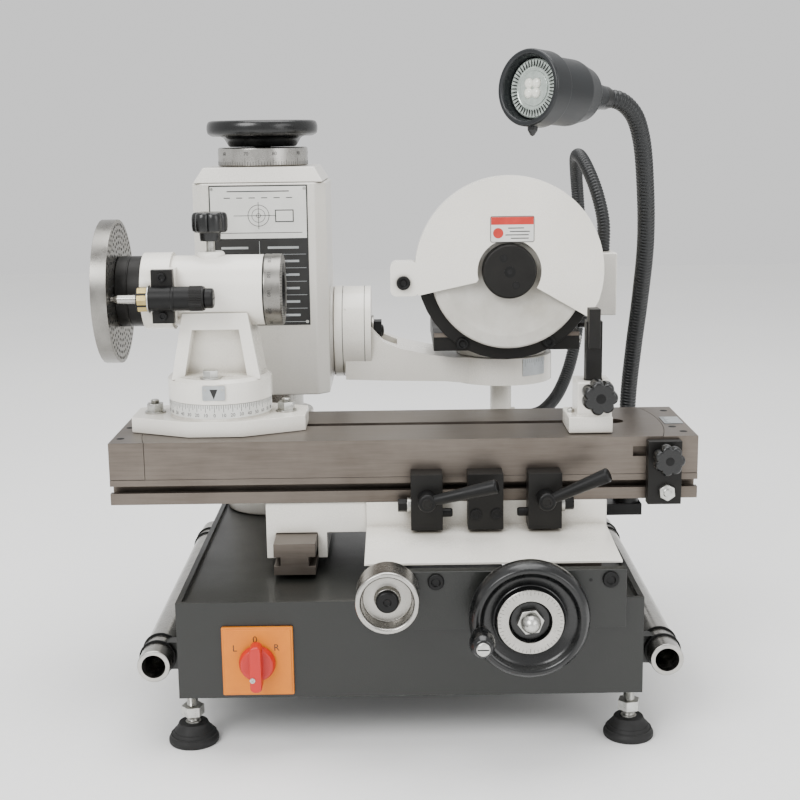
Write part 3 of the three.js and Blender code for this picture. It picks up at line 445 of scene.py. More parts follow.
def corrugated_tree():
    """Sweeps a ribbed round tube along the line that it is given."""
    tree, given, out = group_tree("corrugated_tube", [
        ("Radius", "NodeSocketFloat", 0.007), ("Pitch", "NodeSocketFloat", 0.003),
        ("Depth", "NodeSocketFloat", 0.12), ("Finish", "NodeSocketMaterial", None),
    ])
    pitch, depth = given.outputs["Pitch"], given.outputs["Depth"]
    line = wire(tree, "GeometryNodeMeshToCurve", {"Mesh": given.outputs["Geometry"]}).outputs["Curve"]
    steps = {"Curve": line, "Length": reckon(tree, "DIVIDE", pitch, 8.0)}
    fine = wire(tree, "GeometryNodeResampleCurve", steps, mode="LENGTH")
    along = wire(tree, "GeometryNodeSplineParameter").outputs["Length"]
    phase = reckon(tree, "MULTIPLY", reckon(tree, "DIVIDE", along, pitch), math.pi)
    crest = reckon(tree, "POWER", reckon(tree, "ABSOLUTE", reckon(tree, "SINE", phase)), 0.6)
    scale = reckon(tree, "MULTIPLY_ADD", crest, depth, reckon(tree, "SUBTRACT", 1.0, depth))
    ring = wire(tree, "GeometryNodeCurvePrimitiveCircle",
                {"Resolution": 28, "Radius": given.outputs["Radius"]})
    tube = wire(tree, "GeometryNodeCurveToMesh", {
        "Curve": fine.outputs["Curve"], "Profile Curve": ring.outputs["Curve"], "Scale": scale,
        "Fill Caps": True,
    })
    smooth = wire(tree, "GeometryNodeSetShadeSmooth", {"Geometry": tube.outputs["Mesh"]})
    end_tree(tree, given, out, smooth.outputs["Geometry"])


def grown(name, body, data, tree, settings, look, replaces=()):
    """Runs a geometry tree on a mesh and keeps the plain result as a piece."""
    piece = bpy.data.objects.new(name, data)
    bpy.context.scene.collection.objects.link(piece)
    grow = piece.modifiers.new("grow", "NODES")
    grow.node_group = bpy.data.node_groups[tree]
    sockets = {s.name: s.identifier for s in grow.node_group.interface.items_tree if s.in_out == "INPUT"}
    for label, value in {**settings, "Finish": FINISH[look]}.items():
        grow[sockets[label]] = value
    bake(piece)
    if len(piece.data.materials) == 0:
        piece.data.materials.append(FINISH[look])
    tidy = bmesh.new()
    tidy.from_mesh(piece.data)
    bmesh.ops.remove_doubles(tidy, verts=tidy.verts, dist=1e-7)
    bmesh.ops.recalc_face_normals(tidy, faces=tidy.faces)
    tidy.to_mesh(piece.data)
    tidy.free()
    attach(piece, body)
    if replaces:
        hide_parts(*replaces)
    return piece


def repeat(name, body, look, spots, make, loose=0.0, replaces=()):
    """Copies of one small shape. A spot is (matrix, size); make draws the shape in millimetres."""
    small = Shape()
    make(small, Matrix.Scale(MM, 4))
    bmesh.ops.recalc_face_normals(small.mesh, faces=small.mesh.faces)
    part_data = bpy.data.meshes.new(f"{name}_part")
    small.mesh.to_mesh(part_data)
    small.mesh.free()
    part_data.set_sharp_from_angle(angle=math.radians(38))
    part = bpy.data.objects.new(f"{name}_part", part_data)
    bpy.context.scene.collection.objects.link(part)
    points = bpy.data.meshes.new(name)
    points.from_pydata([m.translation for m, _ in spots], [], [])
    turns = points.attributes.new("turn", "FLOAT_VECTOR", "POINT")
    sizes = points.attributes.new("size", "FLOAT_VECTOR", "POINT")
    for i, (matrix, size) in enumerate(spots):
        turns.data[i].vector = matrix.to_euler()
        sizes.data[i].vector = (size, size, size) if isinstance(size, (int, float)) else size
    made = grown(
        name, body, points, "repeat_on_points", {"Part": part, "Loose Turn": loose, "Seed": 11}, look,
        replaces
    )
    bpy.data.objects.remove(part)
    return made


def smooth_line(route, count):
    """Evenly spread points on a smooth curve through the route, in metres in the frame."""
    nodes = [spot(*p) for p in route]
    nodes = [nodes[0] * 2 - nodes[1], *nodes, nodes[-1] * 2 - nodes[-2]]
    dense = []
    for a, b, c, d in zip(nodes, nodes[1:], nodes[2:], nodes[3:]):
        t1 = (b - a).length ** 0.5
        t2 = t1 + (c - b).length ** 0.5
        t3 = t2 + (d - c).length ** 0.5
        for i in range(24):
            t = t1 + (t2 - t1) * i / 24
            ab = a * ((t1 - t) / t1) + b * (t / t1)
            bc = b * ((t2 - t) / (t2 - t1)) + c * ((t - t1) / (t2 - t1))
            cd = c * ((t3 - t) / (t3 - t2)) + d * ((t - t2) / (t3 - t2))
            abc = ab * ((t2 - t) / t2) + bc * (t / t2)
            bcd = bc * ((t3 - t) / (t3 - t1)) + cd * ((t - t1) / (t3 - t1))
            dense.append(abc * ((t2 - t) / (t2 - t1)) + bcd * ((t - t1) / (t2 - t1)))
    dense.append(nodes[-2])
    lengths = [0.0]
    for a, b in zip(dense, dense[1:]):
        lengths.append(lengths[-1] + (b - a).length)
    out, j = [], 0
    for i in range(count):
        want = lengths[-1] * i / (count - 1)
        while j < len(lengths) - 2 and lengths[j + 1] < want:
            j += 1
        share = (want - lengths[j]) / max(lengths[j + 1] - lengths[j], 1e-9)
        out.append(dense[j].lerp(dense[j + 1], min(max(share, 0), 1)))
    return out, lengths[-1]


def hose(name, body, route, radius, pitch, depth, look, replaces):
    """A corrugated tube along a route. Returns the piece, its points and its length."""
    line, length = smooth_line(route, 160)
    data = bpy.data.meshes.new(name)
    data.from_pydata(line, [(i, i + 1) for i in range(len(line) - 1)], [])
    settings = {"Radius": radius * MM, "Pitch": pitch * MM, "Depth": depth}
    return grown(name, body, data, "corrugated_tube", settings, look, replaces), line, length


def glyphs(name, body, look, words, height=0.12):
    """Small raised numbers and marks. A word is (text, matrix, letter height in millimetres)."""
    joined = bmesh.new()
    for text, matrix, size in words:
        curve = bpy.data.curves.new(name, "FONT")
        curve.body, curve.size, curve.extrude = text, size, height / 2
        curve.align_x, curve.align_y, curve.resolution_u = "CENTER", "CENTER", 3
        letter = bpy.data.objects.new(name, curve)
        bpy.context.scene.collection.objects.link(letter)
        bpy.context.view_layer.update()
        flat = bpy.data.meshes.new_from_object(letter.evaluated_get(bpy.context.evaluated_depsgraph_get()))
        flat.transform(matrix)
        joined.from_mesh(flat)
        bpy.data.objects.remove(letter)
        bpy.data.curves.remove(curve)
        bpy.data.meshes.remove(flat)
    bmesh.ops.remove_doubles(joined, verts=joined.verts, dist=1e-7)
    bmesh.ops.recalc_face_normals(joined, faces=joined.faces)
    data = bpy.data.meshes.new(name)
    joined.to_mesh(data)
    joined.free()
    data.materials.append(FINISH[look])
    for face in data.polygons:
        face.material_index = 0
    piece = bpy.data.objects.new(name, data)
    bpy.context.scene.collection.objects.link(piece)
    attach(piece, body)
    return piece


# small parts that many pieces share; each is drawn in millimetres, standing up along Z from 0


def socket_screw(head, height, key=0.52):
    """A socket head screw: a knurled head with a hexagon socket."""

    def draw(shape, at):
        r, rim = head / 2, head / 2 * key
        shape.lathe([[0, 0], [r, 0], [r, height], [rim + 0.2, height], [rim, height * 0.55],
                     [0, height * 0.5]],
                    "black_dark", at, soft=r * 0.12, segments=36)
        for i in range(24):
            turn = Matrix.Rotation(2 * math.pi * i / 24, 4, "Z")
            shape.block((r - 0.06, r + r * 0.035), (-r * 0.05, r * 0.05), (height * 0.12, height * 0.82),
                        "black_dark", at @ turn)

    return draw


def cross_screw(head, height):
    """A pan head screw with a cross recess drawn as four raised quarters."""

    def draw(shape, at):
        r, w = head / 2, head * 0.055
        for quarter in range(4):
            start = 90 * quarter
            arc = [(r * math.cos(math.radians(start + a)),
                    r * math.sin(math.radians(start + a))) for a in range(8, 83, 9)]
            c, s = math.cos(math.radians(start)), math.sin(math.radians(start))
            inner = [(w * c - w * s, w * s + w * c)]
            shape.prism(arc + inner, 0, height, "zinc", at, edge=height * 0.35)
        shape.prism(polygon(r * 0.97, 24), 0, height * 0.5, "zinc", at)

    return draw


def hex_nut(across, height, stud=0.0, washer=0.0):
    """A nut, with its washer under it and its stud through it."""

    def draw(shape, at):
        base = 0.0
        if washer:
            shape.lathe([[0, 0], [washer / 2, 0], [washer / 2, 1.4], [0, 1.4]], "zinc", at, soft=0.3,
                        segments=40)
            base = 1.5
        shape.hexagon(across, base, base + height, "zinc", at)
        if stud:
            r = across * 0.29
            profile = [[0, base + 0.5], [r, base + 0.5]]
            h = base + height * 0.9
            while h < base + height + stud - 0.8:
                profile += [[r, h], [r * 0.86, h + 0.4]]
                h += 0.8
            profile += [[r * 0.8, base + height + stud], [0, base + height + stud]]
            shape.lathe(profile, "zinc", at, soft=0, segments=28)

    return draw


def mark(width, length, height=0.1):
    """A graduation line that stands along Y."""

    def draw(shape, at):
        w = width / 2
        shape.prism([(-w, 0), (w, 0), (w, length), (-w, length)], 0, height, "ink", at)

    return draw


def dimple(radius, depth=0.12, rim=0.25):
    """A small round hole with a bright countersink round it."""

    def draw(shape, at):
        shape.lathe([[0, 0], [radius + rim, 0], [radius, depth], [0, depth]], "painted_hole_shade", at, soft=0,
                    segments=20)

    return draw


# ---------------------------------------------------------------- the pieces, as operators

OPERATORS = []

# the camera: focal length in millimetres, place in metres, tilt and roll in radians
FOCAL_LENGTH = 60.86
EYE = (0.00201, -1.22546, 0.51043)
EYE_TILT = 0.1941
EYE_ROLL = -0.0136

# axes of the machine, in millimetres: (x, y) of an upright one, else a point of it
HEAD = (-171, 165)
COLUMN = (-140, 320)
ARM_END = (99, 320)
SWITCH = (-126.5, 0, 83.3)
WHEEL = (100, 0, 381)


def length_setting(name, about, default):
    return FloatProperty(name=name, description=about, default=default, unit="LENGTH", subtype="DISTANCE")


class GrinderLook(bpy.types.PropertyGroup):
    """Sizes that the detailed pieces share."""

    edge: length_setting("Casting Edge", "Radius of a casting's painted edges", 0.0016)
    plate_edge: length_setting("Plate Edge", "Radius of a machined plate's broken edges", 0.0005)
    conduit_pitch: length_setting("Conduit Pitch", "Distance between two ribs of the conduit", 0.0031)
    neck_pitch: length_setting("Neck Pitch", "Distance between two ribs of the lamp's neck", 0.0034)


class GrinderHoles(bpy.types.PropertyGroup):
    """How the index plate is drilled."""

    circles: IntProperty(
        name="Hole Circles", description="Number of hole circles on the index plate", default=7, min=1,
        max=9
    )
    lift_marks: IntProperty(
        name="Lift Dial Marks", description="Number of lines round the lift dial", default=100, min=10,
        max=200
    )


def look():
    return bpy.context.scene.grinder_look


def piece_operator(label):
    """Makes an operator of a function that builds one piece, or one group of like pieces."""

    def wrap(build):
        def execute(self, context):
            build()
            return {"FINISHED"}

        name = build.__name__
        kind = type(
            "GRINDER_OT_" + name,
            (bpy.types.Operator,),
            {
                "bl_idname": f"grinder.{name}",
                "bl_label": label,
                "bl_options": {"REGISTER", "UNDO"},
                "__doc__": build.__doc__,
                "execute": execute,
            },
        )
        OPERATORS.append(kind)
        return build

    return wrap


@piece_operator("Camera")
def camera():
    """Puts the camera in front of the machine, a little above it"""
    lens = bpy.data.cameras.new("camera")
    lens.lens, lens.sensor_width, lens.clip_start, lens.clip_end = FOCAL_LENGTH, 36.0, 0.05, 50.0
    eye = bpy.data.objects.new("camera", lens)
    bpy.context.scene.collection.objects.link(eye)
    turn = Matrix.Rotation(math.pi / 2 - EYE_TILT, 4, "X") @ Matrix.Rotation(EYE_ROLL, 4, "Z")
    eye.matrix_world = Matrix.Translation(EYE) @ turn
    bpy.context.scene.camera = eye


CONDUIT_ROUTE = [
    (203, 318, 391.2), (203, 319, 420), (197, 327, 450), (189, 342, 474), (184, 362, 486),
    (183, 384, 484), (186, 404, 466), (190, 416, 436), (193, 420, 400), (194, 418, 360),
    (192, 412, 322), (187, 402, 288), (178, 388, 258), (165, 367, 236), (152, 347, 225.5),
    (140, 330, 221.3), (127, 320.6, 220.5), (114.3, 320, 220.5),
]

NECK_ROUTE = [
    (228, 304, 141), (228.2, 300, 239.6), (229.6, 284, 293), (231.2, 260, 349.5), (230.3, 232, 404.6),
    (224.9, 208, 455.6), (215.6, 185, 505), (205.7, 173, 526.2), (192.4, 166, 537), (181.5, 163.6, 539),
]


@piece_operator("Conduit")
def conduit():
    """Lays the corrugated conduit from the motor's terminal box to the gland under the arm"""
    piece, line, length = hose(
        "conduit_ribbed", "wheelhead", CONDUIT_ROUTE, 6.8, look().conduit_pitch / MM, 0.14, "hose",
        ("conduit",)
    )


@piece_operator("Lamp Neck")
def lamp_neck():
    """Stands the lamp's ribbed gooseneck on its bracket"""
    hose("lamp_neck_ribbed", "base", NECK_ROUTE, 8.3, look().neck_pitch / MM, 0.1, "hose", ("lamp_neck",))
    refined("lamp_bracket", "base", "black_dark", 0.6)
    collar = Shape()
    collar.lathe([[8.6, 0], [10.8, 0], [10.8, 7], [9.4, 12], [8.6, 12]], "plastic", place(228, 304, 152.2))
    collar.done("lamp_neck_collar", "base")


LAMP_TILT = spin(-134.2) @ spin(86, "Y")


def lamp_place(h=0.0, x=0.0, y=0.0, turn=0.0):
    """A place on the lamp: h millimetres along its axis towards the glass, turned about the axis."""
    where = Matrix.Translation(spot(102.5, 85, 547)) @ LAMP_TILT @ spin(turn)
    return where @ Matrix.Scale(MM, 4) @ Matrix.Translation((x, y, h))


@piece_operator("Lamp Head")
def lamp_head():
    """Builds the lamp: stepped shell, bezel, and a lens with slots round a group of diodes"""
    shell = Shape()
    profile = [
        [0, -102.8], [10.6, -102.8], [12.6, -89], [15, -86], [23.6, -73.5], [24.4, -69], [28.2, -55],
        [28.2, -23.4], [27.4, -22.8], [27.4, -21.6], [31.8, -20.4], [31.8, -1.6], [30.6, -0.3],
        [27.6, -0.3],
        [26.4, -3], [25.2, -12.5], [0, -12.5],
    ]
    shell.lathe(profile, "lamp", lamp_place(), soft=1.2, segments=96)
    shell.lathe([[0, 30.0], [4.6, 30.0], [4.2, 34.5], [1.6, 38.6], [0, 39.2]], "plastic",
                lamp_place() @ Matrix.Translation((0, 0, -10.5)) @ AXES["x"], soft=0.6, segments=40)
    shell.lathe([[0, -112.5], [8.9, -112.5], [10.3, -110], [10.3, -102], [0, -102]], "plastic",
                lamp_place(), soft=0.5)
    shell.done("lamp_shell", "base", ("lamp_head",))
    lens = Shape()
    lens.lathe([[0, -12.2], [24.6, -12.2], [24.6, -9.6], [23.4, -8.6], [18, -9.4], [17, -9.9], [0, -9.9]],
               "glass", lamp_place(), soft=0.4, segments=96)
    lens.lathe([[0, -9.8], [14.6, -9.8], [14.4, -8.8], [10, -8.1], [0, -7.9]], "glass", lamp_place(),
               soft=0.6)
    lens.done("lamp_lens", "base")
    diodes = Shape()
    for i in range(4):
        a = math.radians(45 + 90 * i)
        diodes.lathe([[0, -8.2], [4.6, -8.2], [4.2, -6.6], [2.4, -5.3], [0, -4.9]], "led",
                     lamp_place(0, 5.6 * math.cos(a), 5.6 * math.sin(a)), soft=0.8, segments=40)
    diodes.done("lamp_diodes", "base")

    # the lens's slots: thin dark slivers of painted shade on the bezel, not cut through
    def slit(shape, at):
        shape.prism(round_rect(0.95, 6.4, 0.45), 0, 0.35, "painted_hole_shade", at)

    ring = []
    for i in range(44):
        turned = lamp_place(-8.75, 0, 0, 360 * i / 44) @ Matrix.Translation((0, 20.6, 0))
        tilt = spin(-6, "X")
        ring.append((rigid(turned @ tilt), 1))
    repeat("lamp_lens_slots", "base", "painted_hole_shade", ring, slit)


@piece_operator("Base Cabinet")
def base_cabinet():
    """Rounds and paints the base cabinet and its deck"""
    refined("base_cabinet", "base", "green", look().edge / MM, 3)


@piece_operator("Levelling Feet")
def feet():
    """Turns the four rubber feet with their nuts and threaded studs"""
    for end, y in (("front", 27), ("rear", 373)):
        for side, x in (("left", -187), ("right", 187)):
            foot = Shape()
            pad = [[0, 0.02], [20.6, 0.02], [21.4, 1.2], [21.4, 4.4], [19, 7.4], [13.4, 15], [12.4, 18],
                   [0, 18]]
            foot.lathe(pad, "rubber", place(x, y, 0), soft=0.9)
            for radius in (16.4, 18.9):
                foot.lathe([[radius, 6.6], [radius + 0.7, 6.6], [radius + 0.7, 8.0], [radius, 8.0]],
                           "rubber",
                           place(x, y, 0 if radius > 17 else 2.8), soft=0.2)
            foot.lathe([[0, 17.5], [6.6, 17.5], [6.6, 19], [0, 19]], "zinc", place(x, y, 0), soft=0.3)
            thread = [[0, 19]]
            h = 19.0
            while h < 49.5:
                thread += [[4.9, h + 0.2], [4.2, h + 0.75]]
                h += 1.1
            foot.lathe([*thread, [4.9, 58], [0, 58]], "zinc", place(x, y, 0), soft=0, segments=36)
            foot.hexagon(17, 24.2, 32.8, "zinc", place(x, y, 0), 12)
            foot.lathe([[5.2, 46.2], [10.4, 46.2], [10.4, 47.6], [5.2, 47.6]], "zinc", place(x, y, 0),
                       soft=0.3)
            foot.done(f"levelling_foot_{end}_{side}", "base", (f"foot_{end}_{side}",), 0.25)


@piece_operator("Lifting Tubes")
def lifting_tubes():
    """Makes the two lifting tubes along the base's sides, with dark rounded mouths"""
    for side, x in (("left", -215), ("right", 215)):
        tube = Shape()
        ring = [[10.1, -394], [13.9, -394], [13.9, -6], [10.1, -6]]
        tube.lathe(ring, "steel", place(x, 0, 76, "-y"), soft=1.2)
        for y in (27.5, 44.5, 347.5, 364.5):
            tube.lathe([[14.0, -y], [15.6, -y], [15.6, -y + 1.6], [14.0, -y + 1.6]], "black_dark",
                       place(x, 0, 76, "-y"), soft=0.4)
        tube.done(f"lifting_tube_fine_{side}", "base", (f"lifting_tube_{side}",))


@piece_operator("Front Plate")
def front_plate():
    """Rounds the front plate and adds its screws and its oil hole"""
    refined("front_plate", "base", "green", 0.9, 3)
    repeat("front_plate_screws", "base", "black_dark",
           [facing(x, -10.0, z) for x, z in ((21.4, 152.6), (163.8, 152.8))],
           socket_screw(13, 3.0), loose=1.0)
    # the oil hole: a dark disc of painted shade
    oil_hole = Shape()
    oil_hole.lathe([[0, 9.9], [1.5, 9.9], [1.4, 10.1], [0, 10.1]], "painted_hole_shade", place(147.7, 0, 152.4, "-y"),
                   soft=0)
    oil_hole.done("front_plate_oil_hole", "base")


@piece_operator("Main Switch")
def main_switch():
    """Builds the rotary switch: square plate, marks and the red bar handle"""
    plate = Shape()
    plate.prism(round_rect(59, 59, 1.0, 4), 0.35, 3.6, "yellow", place(*SWITCH, "-y"), edge=0.8)
    plate.prism(round_rect(56, 56, 0.9, 4), 3.5, 4.6, "yellow", place(*SWITCH, "-y"), edge=0.7)
    plate.done("switch_plate_fine", "base", ("switch_plate",))
    knob = Shape()
    at = place(*SWITCH, "-y")
    knob.lathe([[0, 6.5], [15.2, 6.5], [15.2, 8.6], [13.4, 13.2], [11, 13.9], [0, 13.9]], "red", at,
               soft=1.0)
    knob.prism(round_rect(9.8, 39.6, 4.2, 10), 10.5, 23.9, "red", at, edge=1.9)
    knob.done("switch_knob_fine", "switch_handle", ("switch_knob",), 0.5, 2)
    repeat("switch_knob_screw", "switch_handle", "zinc",
           [facing(-129, -23.8, 75)], cross_screw(4.6, 1.0), loose=1.0)
    words = [("0", -1.6, 19.3), ("L", -18.6, 11.9), ("R", 16.0, 12.2)]
    glyphs("switch_marks", "base", "ink",
           [(w, place(-126.5 + x, -4.62, 83.3 + z, "-y"), 8.0) for w, x, z in words])


@piece_operator("Feed Handwheel")
def feed_handwheel():
    """Turns the cross-feed handwheel, its graduated ring, its acorn nut and its handle"""
    at = place(96, 0, 127.4, "-y")
    wheel = Shape()
    profile = [
        [8.1, 16.2], [25.8, 13.3], [29.8, 21.5], [40, 20.6], [47, 22.4], [48.8, 25.6], [48.9, 31.4],
        [47.4, 36.5],
        [44, 40.6], [41, 40.2], [37.2, 35.4], [28.4, 32.1], [27.2, 38.6], [17, 38.8], [16, 33.2],
        [8.1, 33.2],
    ]
    wheel.lathe(profile, "plastic", at, soft=1.6, segments=120)
    wheel.done("feed_handwheel_rim", "feed_wheel", ("feed_handwheel",))
    ring = Shape()
    ring.lathe([[17.2, 36.8], [26.8, 36.8], [27.0, 38.4], [26.4, 39.0], [17.6, 39.0], [17.2, 38.4]],
               "steel", at, soft=0.4, segments=96)
    ring.lathe([[0, -239.8], [5.9, -239.8], [5.9, 15.9], [7.6, 16.2], [7.6, 33.3], [0, 33.3]], "steel",
               at, soft=0.3)
    ring.hexagon(19, 33.6, 39.4, "zinc", at, 8)
    ring.lathe([[0, 39.2], [8.2, 39.2], [8.2, 41], [7.6, 44.2], [5.4, 47.6], [2.6, 49.6], [0, 50.2]],
               "zinc", at, soft=1.2)
    ring.done("feed_handwheel_hub", "feed_wheel", ("feed_screw",), 0.3)
    spots = []
    for i in range(50):
        matrix = at @ spin(360 * i / 50) @ Matrix.Translation((0, 23.6 if i % 5 else 22.2, 39.0))
        spots.append((rigid(matrix), (1, 1 if i % 5 else 1.6, 1)))
    repeat("feed_dial_lines", "feed_wheel", "ink", spots, mark(0.28, 2.2, 0.08))
    grip = Shape()
    at = place(56, 0, 119, "-y")
    grip.lathe([[0, 17.3], [5.9, 17.3], [5.9, 41.2], [0, 41.2]], "zinc", at, soft=0.4)
    grip.lathe([[0, 41.8], [6.4, 41.8], [7.4, 44], [8.4, 49], [10.2, 59], [10.3, 62], [9.4, 69], [7, 73],
                [5.8, 73.6], [0, 73.6]],
               "plastic", at, soft=1.4, segments=72)
    grip.lathe([[0, 73.7], [5.6, 73.7], [5.4, 75.3], [4.6, 75.9], [0, 75.9]], "zinc", at, soft=0.4,
               segments=48)
    # the slot in the grip's end: a dark sliver of painted shade
    grip.block((-4.6, 4.6), (-0.5, 0.5), (75.7, 76.0), "painted_hole_shade", at)
    grip.done("feed_handwheel_grip", "feed_handle", ("handwheel_handle",))


@piece_operator("Traverse Knob")
def traverse_knob():
    """Turns the table traverse knob with its hollow face"""
    at = place(-18, 0, 146.5, "-y")
    knob = Shape()
    profile = [
        [0, -181.8], [5.9, -181.8], [5.9, 10.4], [11.9, 10.4], [11.9, 12.4], [24.8, 13.8], [25.7, 15.2],
        [25.7, 43.6],
        [24.7, 44.9], [22.2, 44.9], [20.8, 43], [19.6, 31.4], [10.4, 31.4], [9.6, 37.2], [0, 37.2],
    ]
    knob.lathe(profile, "steel", at, soft=0.8, segments=96)
    knob.lathe([[0, 37.0], [9.4, 37.0], [9.2, 41.0], [7.6, 42.6], [3.2, 42.6], [2.6, 41.2], [0, 41.2]],
               "black_dark", at, soft=0.8)
    knob.done("traverse_knob_fine", "traverse_control", ("traverse_knob",))


@piece_operator("Saddle and Rails")
def saddle():
    """Rounds the saddle, its rails, the splash shield and the fixed stop with its two screws"""
    for name in ("cross_rail_left", "cross_rail_right"):
        refined(name, "base", "ground", 0.4)
    refined("saddle", "saddle", "enamel", 1.2, 3)
    refined("splash_shield", "saddle", "enamel", 0.35)
    refined("stop_block_middle", "saddle", "black", look().plate_edge / MM)
    refined("traverse_pinion", "pinion", "steel", 0.15, 1)
    heads = [(59.2, 184), (77.2, 184)]
    repeat("fixed_stop_screws", "saddle", "black_dark",
           [facing(x, 76.9, z) for x, z in heads],
           socket_screw(10.0, 1.3), loose=1.0)


@piece_operator("Tables")
def tables():
    """Rounds the ground tables and adds their end scale, screws, slots and the taper plate's nut"""
    for name in ("lower_table", "end_block_left", "end_block_right"):
        refined(name, "table", "ground", look().plate_edge / MM)
    refined("upper_table", "upper_table", "ground", look().plate_edge / MM)
    refined("taper_plate", "table", "black", look().plate_edge / MM)
    repeat("taper_plate_nut", "table", "zinc",
           [facing(226.8, 86.9, 199.6)], hex_nut(13, 5.2, 1.8), loose=1.0)
    holes = [(x, y) for x in (-256, 247) for y in (118, 164, 210)] + [(-250, 190), (241, 138)]
    # the screw holes: dark dimples of painted shade
    repeat("end_block_screws", "table", "painted_hole_shade",
           [facing(x, y, 246.72, "z") for x, y in holes], dimple(3.2, 0.12, 0.4))
    scale = Shape()
    scale.block((236.5, 253.5), (150, 178), (246.72, 247.5), "plate")
    scale.done("swivel_scale", "table", (), 0.2)
    spots = [(Matrix.Translation(spot(237, 152 + 2.4 * i, 247.5)) @ spin(-90),
              (1, 1.7 if i % 5 == 0 else 1, 1)) for i in range(11)]
    repeat("swivel_scale_lines", "table", "ink", spots, mark(0.3, 3.2, 0.07))


@piece_operator("Taper Clamp Knob")
def taper_knob():
    """Moulds the lobed knob that clamps the swivelling table"""
    star_knob("taper_knob_fine", "taper_clamp", (226, 0, 230.8), 14.0, -86.4, -69.0, -98.4,
              ("taper_knob",), "-y")


def star_knob(name, body, at, radius, rear, face, stem, replaced, axis="-y", lobe_count=7, inner=0.8):
    """A lobed hand knob with a skirt, a recessed face and a plated stem."""
    where = place(*at, axis)
    knob = Shape()
    long = face - rear
    shallow = lobes(radius * inner, radius - 0.1, lobe_count, 168, 0.7)
    levels = [
        (rear + long * 0.3, 0.86), (rear + long * 0.36, 0.97), (rear + long * 0.5, 1.0),
        (face - long * 0.22, 1.0),
        (face - long * 0.08, 0.96), (face - long * 0.02, 0.88), (face, 0.78),
    ]
    knob.stack(shallow, levels, "plastic", where)
    knob.lathe([[0, rear], [radius * 0.56, rear], [radius * 0.6, rear + long * 0.32],
                [0, rear + long * 0.32]], "plastic", where, soft=0.6)
    knob.lathe([[0, face - 0.2], [radius * 0.3, face - 0.2], [radius * 0.27, face + 0.02],
                [0, face + 0.02]], "black_dark", where, soft=0)
    knob.lathe([[0, stem], [3.9, stem], [3.9, rear + 0.5], [0, rear + 0.5]], "zinc", where, soft=0.3,
               segments=40)
    return knob.done(name, body, replaced)


@piece_operator("Table Stops")
def stops():
    """Finishes the two sliding stops with their tips, adjusting screws and clamp levers"""
    for side, x0, x1, tip, reach in (("left", 2.5, 30.3, 1, (60, 17.4)),
                                     ("right", 105, 134.3, -1, (51.5, 26.5))):
        block = Shape()
        block.block((x0, x1), (77.05, 98.4), (170, 220), "black")
        block.done(f"stop_{side}_body", f"stop_{side}", (f"stop_block_{side}",), look().plate_edge / MM)
        inner, outer = (x1, x0) if tip > 0 else (x0, x1)
        ends = Shape()
        axis = "x" if tip > 0 else "-x"
        ends.lathe([[0, -1], [3.9, -1], [3.9, 7.6], [3.0, 9.0], [0, 9.0]], "black_dark",
                   place(inner, 88, 183, axis), soft=0.4)
        back = "-x" if tip > 0 else "x"
        ends.lathe([[0, -1], [6.9, -1], [6.9, 3.2], [0, 3.2]], "zinc", place(outer, 88, 190, back),
                   soft=0.4)
        ends.hexagon(10.2, 3.3, 11.4, "black_dark", place(outer, 88, 190, back), 30)
        ends.done(f"stop_{side}_tip", f"stop_{side}", (), 0.25)
        centre = (x0 + x1) / 2
        at = place(centre, 0, 198.4, "-y")
        lever = Shape()
        lever.lathe([[0, -98.4], [3.9, -98.4], [3.9, -76.6], [7.9, -76.6], [7.9, -61.4], [6.6, -60.1],
                     [0, -60.1]],
                    "black_dark", at, soft=0.7)
        lever.lathe([[0, -60.2], [4.6, -60.2], [4.4, -59.6], [2.9, -59.3], [2.6, -60.0], [0, -60.0]],
                    "black", at, soft=0.2, segments=40)
        start, end = Vector((3, 1, -66)), Vector((*reach, -52))
        direction = end - start
        turn = direction.to_track_quat("Z", "Y").to_matrix().to_4x4()
        reach_mm = direction.length
        lever.lathe([[0, 0], [4.4, 0], [4.9, reach_mm * 0.2], [6.1, reach_mm * 0.86],
                     [6.4, reach_mm - 1.6], [5.2, reach_mm], [0, reach_mm]],
                    "black_dark", at @ Matrix.Translation(start) @ turn, soft=1.0, segments=64)
        lever.done(f"clamp_lever_{side}_fine", f"lever_{side}", (f"clamp_lever_{side}",))


# ---------------------------------------------------------------- work head


@piece_operator("Work Head Base")
def head_base():
    """Rounds the work head's diamond base, with its graduated collar and clamping nuts"""
    refined("head_base_plate", "upper_table", "enamel", 1.3, 3)
    collar = Shape()
    collar.lathe([[38, 263.2], [46.75, 263.2], [46.85, 263.8], [46.85, 275.4], [46.4, 275.95],
                  [38, 275.95]], "label",
                 place(*HEAD, 0), soft=0.25, segments=144)
    collar.done("head_swivel_collar", "upper_table")
    spots = []
    for i in range(72):
        angle = math.radians(-180 + 2.5 * i)
        long = 2.1 if i % 4 == 0 else (1.5 if i % 2 == 0 else 1)
        spots.append((on_drum(HEAD, 275.6, 46.85, angle) @ spin(180), (1, long, 1)))
    repeat("head_swivel_lines", "upper_table", "ink", spots, mark(0.42, 3.0, 0.06))
    words = []
    for i in range(1, 18):
        angle = math.radians(-180 + 10 * i)
        words.append((str(abs(90 - 10 * i)), on_drum(HEAD, 266.4, 46.9, angle) @ Matrix.Scale(MM, 4), 4.4))
    glyphs("head_swivel_numbers", "upper_table", "ink", words, 0.08)
    nuts = [facing(x, 165, 261.0, "z") for x in (-232, -111)]
    repeat("head_base_nuts", "upper_table", "zinc", nuts, hex_nut(14, 7.2, 3.4, 19), loose=1.0)


